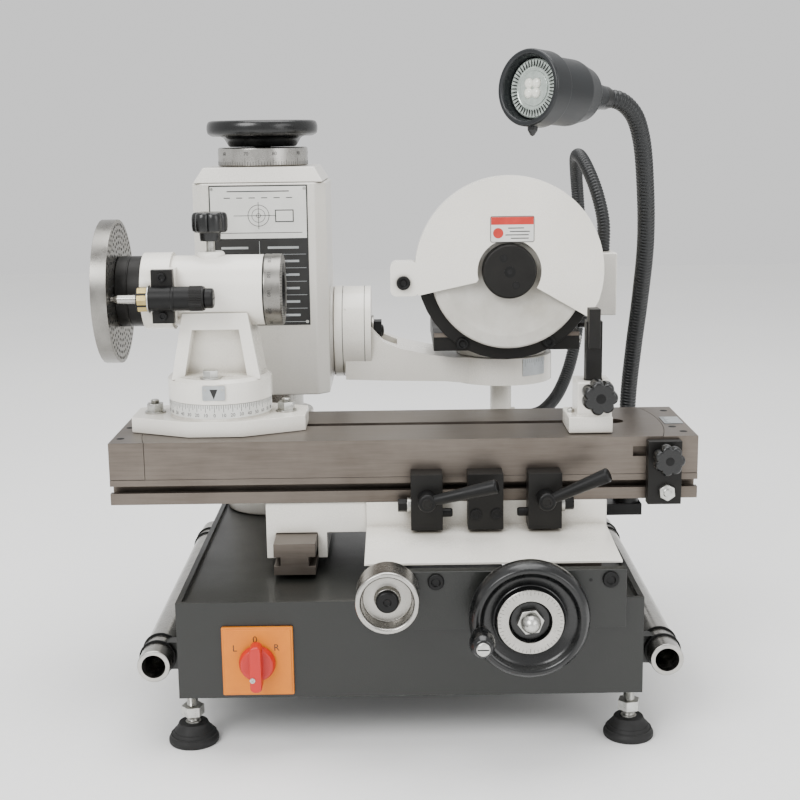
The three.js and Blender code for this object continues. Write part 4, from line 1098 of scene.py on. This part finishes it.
@piece_operator("Work Head Housing")
def head_housing():
    """Builds the work head's cast housing, its pocket bolt, its pointer plate and its clamp boss"""
    refined("head_housing", "work_head", "enamel", look().edge / MM, 3, 30)
    boss = Shape()
    boss.lathe([[4.6, 400], [13.4, 400], [12.6, 406.6], [10.9, 408.9], [4.6, 408.9]], "enamel",
               place(-175, 165, 0), soft=0.8)
    boss.done("head_clamp_boss", "work_head")
    bolt = [facing(-175, 131.5, 298, "z")]
    repeat("head_pocket_bolt", "work_head", "zinc", bolt, hex_nut(13, 6.4, 0, 19), loose=1.0)
    plate = Shape()
    plate.block((-10, 10), (-6.5, 6.5), (47.55, 48.15), "plate", place(*HEAD, 287.0, "-y"))
    plate.done("head_pointer_plate", "work_head", (), 0.15)
    arrow = Shape()
    arrow.prism([(-3.6, 3.4), (3.6, 3.4), (0, -5.6)], 48.1, 48.3, "ink", place(*HEAD, 287.0, "-y"))
    arrow.done("head_pointer", "work_head")
    repeat("head_pointer_rivets", "work_head", "zinc",
           [facing(-171 + x, 165 - 48.1, 290) for x in (-7.6, 7.6)],
           dimple(0.9, 0.3, 0.3))


@piece_operator("Index Pin")
def index_pin():
    """Turns the indexing pin's barrel with its knurled collar, cap and bracket screws"""
    at = place(-171, 115, 372, "x")
    barrel = Shape()
    barrel.node("index_pin_barrel", "black")
    barrel.done("index_pin_bracket", "work_head", ("index_pin_barrel",), 0.35)
    sleeve = Shape()
    sleeve.lathe([[8, -52.4], [10.9, -52.4], [10.9, -33], [11.3, -32.4], [11.3, -30.4], [10.7, -29.8],
                  [10.7, -4.6], [9.9, -3.9], [8, -3.9]],
                 "black_dark", at, soft=0.5)
    sleeve.hexagon(20.6, -61.8, -53.2, "brass", at, 0)
    sleeve.lathe([[6, -53.3], [12.2, -53.3], [12.2, -52.1], [6, -52.1]], "zinc", at, soft=0.3)
    sleeve.done("index_pin_sleeve", "work_head", (), 0.3)
    ribs = []
    for i in range(44):
        matrix = at @ spin(360 * i / 44) @ Matrix.Translation((10.65, 0, -11.5))
        ribs.append((rigid(matrix), 1))

    def rib(shape, at):
        shape.prism([(0, -0.55), (0.42, -0.15), (0.42, 0.15), (0, 0.55)], -5.5, 5.5, "black", at)

    repeat("index_pin_knurl", "work_head", "black", ribs, rib)
    repeat("index_bracket_screws", "work_head", "black_dark",
           [facing(-212.5, 116.9, z) for z in (356.5, 390.5)],
           socket_screw(7.4, 3.0), loose=1.0)
    pin = Shape()
    pin.lathe([[0, -86.4], [1.9, -86.4], [2.1, -84], [3.9, -80], [3.9, -3.7], [0, -3.7]], "steel", at,
              soft=0.3, segments=48)
    pin.lathe([[0, -3.6], [8.9, -3.6], [8.9, 2.6], [7.6, 3.9], [0, 3.9]], "black_dark", at, soft=0.7)
    # the slot across the pin's knob: a dark sliver of painted shade
    pin.block((-7, 7), (-0.6, 0.6), (3.75, 4.0), "painted_hole_shade", at)
    pin.done("index_pin", "plunger", ("index_plunger",))


@piece_operator("Index Plate")
def index_plate():
    """Drills the index plate's circles of holes and turns the work spindle's hub and nose"""
    at = place(*HEAD, 373.5, "x")
    refined("index_plate", "work_spindle", "steel_dark", 0.5)
    holes = []
    for ring in range(bpy.context.scene.grinder_holes.circles):
        radius = 60.5 - 5.4 * ring
        count = [60, 48, 40, 36, 30, 24, 20, 16, 12][ring]
        for i in range(count):
            angle = 2 * math.pi * i / count
            y, z = 165 + radius * math.cos(angle), 373.5 + radius * math.sin(angle)
            if (y - 115) ** 2 + (z - 372) ** 2 < 14:
                continue
            for x, axis in ((-257.98, "x"), (-271.84, "-x")):
                holes.append(facing(x, y, z, axis))
    # each hole: a dark dimple of painted shade on either face of the plate
    repeat("index_plate_holes", "work_spindle", "painted_hole_shade", holes, dimple(1.25, 0.14, 0.2))
    hub = Shape()
    profile = [
        [0, -96.6], [15.6, -96.6], [15.6, -86.7], [31.9, -86.7], [31.9, -77.2], [31.3, -76.8],
        [31.3, -75.8], [31.9, -75.4],
        [31.9, -64.35], [19.7, -64.35], [19.7, 44.35], [31.9, 44.35], [31.9, 60.9], [16.1, 60.9],
        [14.1, 1], [0, 1],
    ]
    hub.lathe(profile, "black", at, soft=0.6, segments=96)
    # the centre hole in the hub's end: a dark disc of painted shade
    hub.lathe([[0, -81.5], [2.2, -81.5], [2.2, -81.0], [0, -81.0]], "painted_hole_shade", at, soft=0, segments=24)
    hub.done("work_spindle_hub", "work_spindle", ("head_spindle",))
    nose = Shape()
    nose.lathe([[24, 45.2], [32.15, 45.2], [32.3, 45.9], [32.3, 60.0], [31.6, 60.95], [24, 60.95]],
               "steel_dark", at, soft=0.4, segments=120)
    nose.done("work_spindle_ring", "work_spindle")
    spots = []
    for i in range(72):
        matrix = at @ spin(360 * i / 72) @ Matrix.Translation((32.28, 0, 60.2)) @ spin(90, "Y")
        spots.append((rigid(matrix) @ spin(90), (1, 2.2 if i % 6 == 0 else 1.2, 1)))
    repeat("work_spindle_lines", "work_spindle", "ink", spots, mark(0.4, 2.6, 0.07))
    words = []
    for i in range(12):
        matrix = at @ spin(360 * i / 12) @ Matrix.Translation((32.3, 0, 50.2))
        matrix = matrix @ spin(90, "Y") @ spin(90)
        words.append((str(30 * i), matrix, 4.2))
    glyphs("work_spindle_numbers", "work_spindle", "ink", words, 0.08)
    # the work spindle's centre seat: a dark disc of painted shade
    seat = Shape()
    seat.lathe([[0, -81.6], [2.3, -81.6], [2.3, -81.5], [0, -81.5]], "painted_hole_shade", at, soft=0, segments=24)
    seat.done("work_spindle_seat", "work_spindle")


@piece_operator("Head Clamp Knob")
def head_clamp():
    """Moulds the lobed knob that clamps the work spindle"""
    star_knob("head_clamp_knob_fine", "head_clamp", (-175, 165, 0), 16.4, 418.2, 443.9, 398.2,
              ("head_clamp_knob",), "z", 6, 0.82)


# ---------------------------------------------------------------- tooth rest


@piece_operator("Tooth Rest")
def tooth_rest():
    """Rounds the tooth rest's holder and builds its post, its finger and its knob"""
    refined("rest_holder", "upper_table", "enamel", 2.0, 3, 30)
    refined("rest_post", "rest_slide", "black", 0.5)
    star_knob("rest_knob_fine", "rest_clamp", (168, 0, 283.5), 15.9, -112.8, -84.2, -128.2,
              ("rest_knob",), "-y")
    # the finger's pin hole: a dark disc of painted shade
    small = Shape()
    small.lathe([[0, 0], [1.4, 0], [1.4, 0.3], [0, 0.3]], "painted_hole_shade", place(167, 119.75, 331, "-y"), soft=0,
                segments=24)
    small.done("rest_finger_pin", "rest_slide")
    repeat("rest_foot_nut", "upper_table", "zinc", [facing(148.4, 136, 262.0, "z")],
           hex_nut(5.5, 3.0, 1.2), loose=1.0)


# ---------------------------------------------------------------- column


@piece_operator("Column")
def column():
    """Builds the column: pedestal, pillar, housing, cap and a plain data plate"""
    refined("column_housing", "column", "enamel_grey", look().edge / MM, 3, 30)
    refined("column_cap", "column", "enamel_grey", 1.6, 3, 25)
    stand = Shape()
    at = place(*COLUMN, 0)
    stand.lathe([[34.4, 129.8], [47.4, 129.8], [47.4, 142.6], [44.2, 149], [43.9, 231.8], [34.4, 231.8]],
                "enamel", at, soft=1.6, segments=96)
    stand.done("column_pedestal_fine", "base", ("column_pedestal",))
    pillar = Shape()
    pillar.lathe([[13.1, 195.1], [33.9, 195.1], [33.9, 429.9], [8.5, 429.9], [8.5, 404.1], [13.1, 404.1]],
                 "steel", at, soft=0.5, segments=96)
    pillar.lathe([[0, 130], [13, 130], [13, 215], [0, 215]], "steel", at, soft=0.5)
    pillar.done("column_pillar_fine", "base", ("column_pillar",))
    label = Shape()
    label.block((-187.5, -92.5), (255.45, 256.0), (328, 464), "ink")
    label.block((-186.3, -93.7), (255.2, 255.5), (413, 462.8), "label")
    label.block((-186.3, -93.7), (255.2, 255.5), (329.2, 412), "ink")
    label.done("column_data_plate", "column", (), 0.12)

    def cell(shape, at):
        shape.prism([(-0.5, -0.5), (0.5, -0.5), (0.5, 0.5), (-0.5, 0.5)], 0, 1, "plate", at)

    def boxes(items):
        return [(Matrix.Translation(spot(x, 255.2, z)) @ AXES["-y"], (w, h, 0.09)) for x, z, w, h in items]

    light = []
    for row in range(6):
        z = 338 + 13.2 * row
        light.append((-140, z - 6.6, 90, 0.4))
        light += [(-164, z, 26, 2.2), (-117, z, 30, 2.2)]
    light.append((-140, 371, 0.4, 79))
    repeat("column_data_fields", "column", "plate", boxes(light), cell)
    dark = [(-140, 458.2, 60, 1.0), (-140, 418.4, 84, 0.6)]
    dark += [(-170 + 12 * i, 452, 6, 0.8) for i in range(6)]
    repeat("column_data_lines", "column", "ink", boxes(dark), cell)
    diagram = Shape()
    at = place(-140, 255.15, 435, "-y")
    for radius, thick in ((10.4, 0.5), (6.6, 0.4), (2.2, 0.4)):
        diagram.lathe([[radius - thick, 0], [radius, 0], [radius, 0.12], [radius - thick, 0.12]], "ink",
                      at, soft=0, segments=48)
    diagram.prism([(-24, -0.25), (24, -0.25), (24, 0.25), (-24, 0.25)], 0, 0.12, "ink", at)
    diagram.prism([(-0.25, -13), (0.25, -13), (0.25, 13), (-0.25, 13)], 0, 0.11, "ink", at)
    diagram.prism([(16, -6.5), (34, -6.5), (34, 5.5), (16, 5.5)], 0, 0.1, "ink", at)
    diagram.prism([(17, -5.5), (33, -5.5), (33, 4.5), (17, 4.5)], 0, 0.14, "label", at)
    diagram.done("column_data_diagram", "column")
    corners = [(x, z) for x in (-184.6, -95.4) for z in (331.4, 460.6)]
    repeat("column_plate_rivets", "column", "zinc",
           [facing(x, 255.3, z) for x, z in corners], cross_screw(3.0, 0.5))


@piece_operator("Lift Handwheel")
def lift_wheel():
    """Turns the column's lift handwheel, and its dial with lines and numbers"""
    at = place(*COLUMN, 0)
    wheel = Shape()
    profile = [
        [8.6, 500.0], [33.6, 500.0], [38.4, 508.6], [42, 510.4], [50, 510.2], [54.4, 512.6], [55.3, 516],
        [55.3, 520.8],
        [53.8, 524.6], [50.4, 525.8], [46.6, 525.4], [43.4, 523.4], [35, 517.4], [16, 516.8], [13, 519.4],
        [8.6, 519.4],
    ]
    wheel.lathe(profile, "plastic", at, soft=1.8, segments=132)
    wheel.done("lift_handwheel_rim", "lift_wheel", ("lift_handwheel",))
    dial = Shape()
    dial.lathe([[0, 290.2], [7.9, 290.2], [7.9, 481.5], [44.2, 481.5], [44.8, 482.4], [44.8, 498.4],
                [43.6, 499.4], [7.9, 499.4], [7.9, 520.3], [0, 520.3]],
               "steel", at, soft=0.5, segments=132)
    dial.hexagon(19, 520.6, 525.6, "zinc", at, 5)
    dial.done("lift_dial", "lift_wheel", ("lift_screw",), 0.25)
    count = bpy.context.scene.grinder_holes.lift_marks
    spots, words = [], []
    for i in range(count):
        angle = 2 * math.pi * i / count
        long = 2.0 if i % 10 == 0 else (1.5 if i % 5 == 0 else 1)
        spots.append((on_drum(COLUMN, 482.2, 44.8, angle), (1, long, 1)))
    for i in range(10):
        angle = 2 * math.pi * i / 10 + 2 * math.pi * 0.5 / count
        words.append((str(10 * i), on_drum(COLUMN, 493.4, 44.85, angle) @ Matrix.Scale(MM, 4), 4.8))
    repeat("lift_dial_lines", "lift_wheel", "ink", spots, mark(0.36, 3.6, 0.07))
    glyphs("lift_dial_numbers", "lift_wheel", "ink", words, 0.08)


# ---------------------------------------------------------------- arm and wheel head


@piece_operator("Arm")
def arm():
    """Builds the cast arm with its tilt collar, its scale plates and its stud and nut"""
    refined("arm", "arm", "enamel", 2.2, 3, 30)
    hub = Shape()
    at = place(0, 320, 312.4, "x")
    # the seams round the hub: dark rings of painted shade between the parts
    for x in (-62.6, -40.6):
        hub.lathe([[45, x], [46.08, x], [46.08, x + 0.55], [45, x + 0.55]], "painted_hole_shade", at, soft=0,
                  segments=120)
    hub.done("arm_hub_seams", "arm")
    collar = Shape()
    collar.lathe([[30, -70.9], [46.3, -70.9], [46.6, -70.2], [46.6, -63.0], [46.3, -62.7], [30, -62.7]],
                 "enamel", at, soft=0.3, segments=120)
    collar.done("arm_hub_collar", "arm")
    plate = Shape()
    for i in range(7):
        angle = -104 + 4.2 * i
        turned = at @ spin(angle - 90)
        plate.prism([(-1.8, 46.1), (1.8, 46.1), (1.8, 46.75), (-1.8, 46.75)], -61.4, -52.4, "plate", turned)
    plate.done("arm_tilt_scale", "arm")
    stud = Shape()
    stud.lathe([[0, -88.8], [9.9, -88.8], [9.9, -32.4], [0, -32.4]], "black_dark", at, soft=0.4)
    stud.lathe([[9.9, -33.6], [15.8, -33.6], [15.8, -31.6], [9.9, -31.6]], "steel", at, soft=0.4)
    stud.hexagon(21, -31.4, -23.6, "black_dark", at, 4)
    stud.lathe([[0, -24], [6.2, -24], [5.9, -22.4], [3.6, -21.3], [0, -21.0]], "black", at, soft=0.5)
    stud.done("arm_stud_fine", "column", ("arm_stud",), 0.3)
    scale = Shape()
    for i in range(12):
        angle = math.radians(-112 + 2.6 * i + 44)
        turned = place(*ARM_END, 0) @ Matrix.Rotation(angle, 4, "Z")
        scale.prism([(52.05, -1.3), (52.6, -1.3), (52.6, 1.3), (52.05, 1.3)], 271, 288.2, "plate", turned)
    scale.done("arm_swivel_scale", "arm")
    lines = []
    for i in range(13):
        angle = math.radians(-112 + 2.6 * (i - 0.5) + 44)
        lines.append((on_drum(ARM_END, 288.0, 52.62, angle) @ spin(180), (1, 1.8 if i % 5 == 1 else 1, 1)))
    repeat("arm_swivel_lines", "arm", "ink", lines, mark(0.3, 4, 0.08))


@piece_operator("Wheel Head")
def wheel_head():
    """Builds the swivel table, slide block, motor and terminal box"""
    refined("swivel_table", "wheelhead", "enamel", 0.8, 2)
    block = Shape()
    block.node("slide_block", "black")
    block.done("slide_block_fine", "wheelhead", ("slide_block",), 0.7)
    gibs = Shape()
    gibs.block((28.4, 170.6), (249.6, 250.2), (314.6, 318.6), "ground")
    # the gap under the gib: a dark strip of painted shade
    gibs.block((28.4, 170.6), (249.7, 250.1), (312.6, 313.2), "painted_hole_shade")
    gibs.done("slide_block_gib", "wheelhead", (), 0.15)
    at = place(*WHEEL, "-y")
    motor = Shape()
    profile = [
        [8.7, -262.2], [30, -262.2], [54, -268.2], [59.8, -276], [59.8, -389.6], [56, -395.8],
        [40, -403.8], [0, -403.8],
        [0, -284.2], [8.7, -284.2],
    ]
    motor.lathe(profile, "enamel", at, soft=2.2, segments=96)
    motor.block((58.5, 141.5), (282.3, 383.7), (319.5, 339.6), "enamel")
    motor.done("motor_shell", "wheelhead", ("motor",), 1.4, 3)

    def fin(shape, at):
        shape.prism([(-1.1, 0), (1.1, 0), (0.8, 3.8), (-0.8, 3.8)], -50, 50, "enamel", at)

    fins = []
    for i in range(22):
        angle = 14 + 7.2 * i
        if 0 < angle < 172:
            matrix = at @ spin(angle - 90) @ Matrix.Translation((0, 56.0, -333))
            fins.append((rigid(matrix), 1))
    repeat("motor_fins", "wheelhead", "enamel", fins, fin)
    refined("terminal_box", "wheelhead", "enamel", 1.6, 3)
    nut = Shape()
    nut.hexagon(18, 383, 390.8, "plastic", place(203, 318, 0), 10)
    nut.done("conduit_gland_nut", "wheelhead", (), 0.3)
    knob = Shape()
    knob.lathe([[0, 0], [6.6, 0], [7.2, 1], [7.2, 8], [6.0, 9.6], [0, 9.8]], "plastic",
               place(171.2, 268, 327, "x"), soft=0.9)
    knob.lathe([[0, -8], [3, -8], [3, 0.2], [0, 0.2]], "zinc", place(171.2, 268, 327, "x"), soft=0.2,
               segments=32)
    knob.done("slide_clamp_knob", "wheelhead")
    spindle = Shape()
    spindle.lathe([[0, -90], [4, -90], [4, 0], [0, 0]], "zinc", place(171.2, 268, 310, "x"), soft=0.2,
                  segments=32)
    spindle.lathe([[0, 0], [4.6, 0], [4.6, 3], [0, 3]], "zinc", place(171.0, 268, 310, "x"), soft=0.4,
                  segments=32)
    spindle.done("slide_screw", "wheelhead")


@piece_operator("Wheel Guard")
def wheel_guard():
    """Builds the guard's back plate and cover, its screws and a plain caution plate without words"""
    refined("guard_back", "wheelhead", "black", 0.8, 2)
    refined("guard_cover", "wheelhead", "enamel", 1.1, 3, 30)
    repeat("guard_back_screws", "wheelhead", "black_dark",
           [facing(x, 244.0, z) for x, z in ((56, 309), (140, 310))],
           socket_screw(12, 3.0), loose=1.0)
    repeat("guard_lug_screw", "wheelhead", "black_dark",
           [facing(-1, 221.9, 371.6)], socket_screw(13, 5.0), loose=1.0)
    at = place(102.5, 221.95, 421, "-y")
    label = Shape()
    label.prism(round_rect(41.5, 24.5, 1.6, 6), 0, 0.3, "ink", at)
    label.prism(round_rect(40.3, 23.3, 1.2, 6), 0.2, 0.4, "label", at)
    label.block((-20, 20), (4.3, 11.5), (0.35, 0.5), "ink_red", at)
    label.lathe([[0, 0.35], [4.9, 0.35], [4.9, 0.5], [0, 0.5]], "ink_red",
                at @ Matrix.Translation((-13.4, -3.6, 0)), soft=0, segments=48)
    for i, (x, w) in enumerate(((2.5, 15), (6, 19), (3.5, 22), (6, 17))):
        label.block((x - w / 2 + 1, x + w / 2 + 1), (0.6 - 3.2 * i, 1.5 - 3.2 * i), (0.35, 0.48), "ink", at)
    label.done("guard_plate", "wheelhead")


@piece_operator("Grinding Wheel")
def grinding_wheel():
    """Forms the cup wheel and turns the dark flange that holds it"""
    at = place(*WHEEL, "-y")
    wheel = Shape()
    profile = [
        [8.6, -241.4], [74, -241.4], [74.9, -240.4], [74.9, -229.2], [73.4, -227.6], [63, -227.6],
        [61, -228.2],
        [50, -232.6], [46, -233.3], [30, -233.5], [8.6, -233.9],
    ]
    wheel.lathe(profile, "abrasive", at, soft=0.9, segments=144)
    wheel.done("grinding_wheel_fine", "grinding_spindle", ("grinding_wheel",))
    flange = Shape()
    flange.lathe([[0, -280.8], [7.9, -280.8], [7.9, -233.6], [25.9, -233.6], [25.9, -220.6],
                  [24.4, -218.7], [0, -218.7]],
                 "black", at, soft=0.8, segments=120)
    flange.lathe([[0, -218.9], [5.4, -218.9], [5.4, -218.55], [0, -218.55]], "black_dark", at, soft=0,
                 segments=48)
    # the flange's centre hole here and its two pin holes below: dark discs of painted shade
    flange.lathe([[0, -218.8], [2.4, -218.8], [2.4, -218.5], [0, -218.5]], "painted_hole_shade", at, soft=0, segments=32)
    for x, y in ((-6, 13), (6, -13)):
        flange.lathe([[0, -218.9], [3.9, -218.9], [3.9, -218.6], [0, -218.6]], "black_dark",
                     at @ Matrix.Translation((x, y, 0)), soft=0, segments=36)
        flange.lathe([[0, -218.8], [2.7, -218.8], [2.7, -218.52], [0, -218.52]], "painted_hole_shade",
                     at @ Matrix.Translation((x, y, 0)), soft=0, segments=32)
    flange.done("wheel_flange_fine", "grinding_spindle", ("wheel_flange",))


# ---------------------------------------------------------------- stage


@piece_operator("Studio")
def studio():
    """Lays a pale floor and lights the machine softly from the front, the side and above"""
    floor_look = finish(
        "studio_floor", "f6f6f5", "fbfbfa", rough=(0.55, 0.7), cloud=1.4, grain=120.0, bump=0.02
    )
    grid = bmesh.new()
    bmesh.ops.create_grid(grid, x_segments=12, y_segments=12, size=4.0)
    data = bpy.data.meshes.new("studio_floor")
    grid.to_mesh(data)
    grid.free()
    data.materials.append(floor_look)
    floor = bpy.data.objects.new("studio_floor", data)
    bpy.context.scene.collection.objects.link(floor)
    world = bpy.data.worlds.new("studio")
    world.use_nodes = True
    world.node_tree.nodes["Background"].inputs["Color"].default_value = (1.0, 1.0, 1.0, 1)
    world.node_tree.nodes["Background"].inputs["Strength"].default_value = 0.95
    bpy.context.scene.world = world
    lamps = (
        ("key", (-1.3, -1.9, 1.9), 1.5, 62.0),
        ("fill", (1.7, -1.5, 1.1), 1.6, 20.0),
        ("top", (0.1, 0.2, 2.2), 1.8, 42.0),
    )
    for name, where, size, power in lamps:
        light = bpy.data.lights.new(f"studio_{name}", "AREA")
        light.shape, light.size, light.energy = "DISK", size, power
        bulb = bpy.data.objects.new(f"studio_{name}", light)
        bulb.location = where
        bulb.rotation_euler = (Vector((0, 0, 0.3)) - Vector(where)).to_track_quat("-Z", "Y").to_euler()
        bpy.context.scene.collection.objects.link(bulb)


# ---------------------------------------------------------------- panel, registration and the run


class GRINDER_PT_pieces(bpy.types.Panel):
    """Lists every piece of the machine"""

    bl_label = "Tool and Cutter Grinder"
    bl_idname = "GRINDER_PT_pieces"
    bl_space_type = "VIEW_3D"
    bl_region_type = "UI"
    bl_category = "Grinder"

    def draw(self, context):
        layout = self.layout
        for name in ("edge", "plate_edge", "conduit_pitch", "neck_pitch"):
            layout.prop(context.scene.grinder_look, name)
        for name in ("circles", "lift_marks"):
            layout.prop(context.scene.grinder_holes, name)
        for kind in OPERATORS:
            layout.operator(kind.bl_idname)


CLASSES = [GrinderLook, GrinderHoles, *OPERATORS, GRINDER_PT_pieces]


def register():
    for kind in CLASSES:
        bpy.utils.register_class(kind)
    bpy.types.Scene.grinder_look = PointerProperty(type=GrinderLook)
    bpy.types.Scene.grinder_holes = PointerProperty(type=GrinderHoles)


def unregister():
    del bpy.types.Scene.grinder_holes
    del bpy.types.Scene.grinder_look
    for kind in reversed(CLASSES):
        bpy.utils.unregister_class(kind)


def main():
    register()
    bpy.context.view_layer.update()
    make_finishes()
    scatter_tree()
    corrugated_tree()
    for kind in OPERATORS:
        group, name = kind.bl_idname.split(".")
        getattr(getattr(bpy.ops, group), name)()


if __name__ == "__main__":
    main()
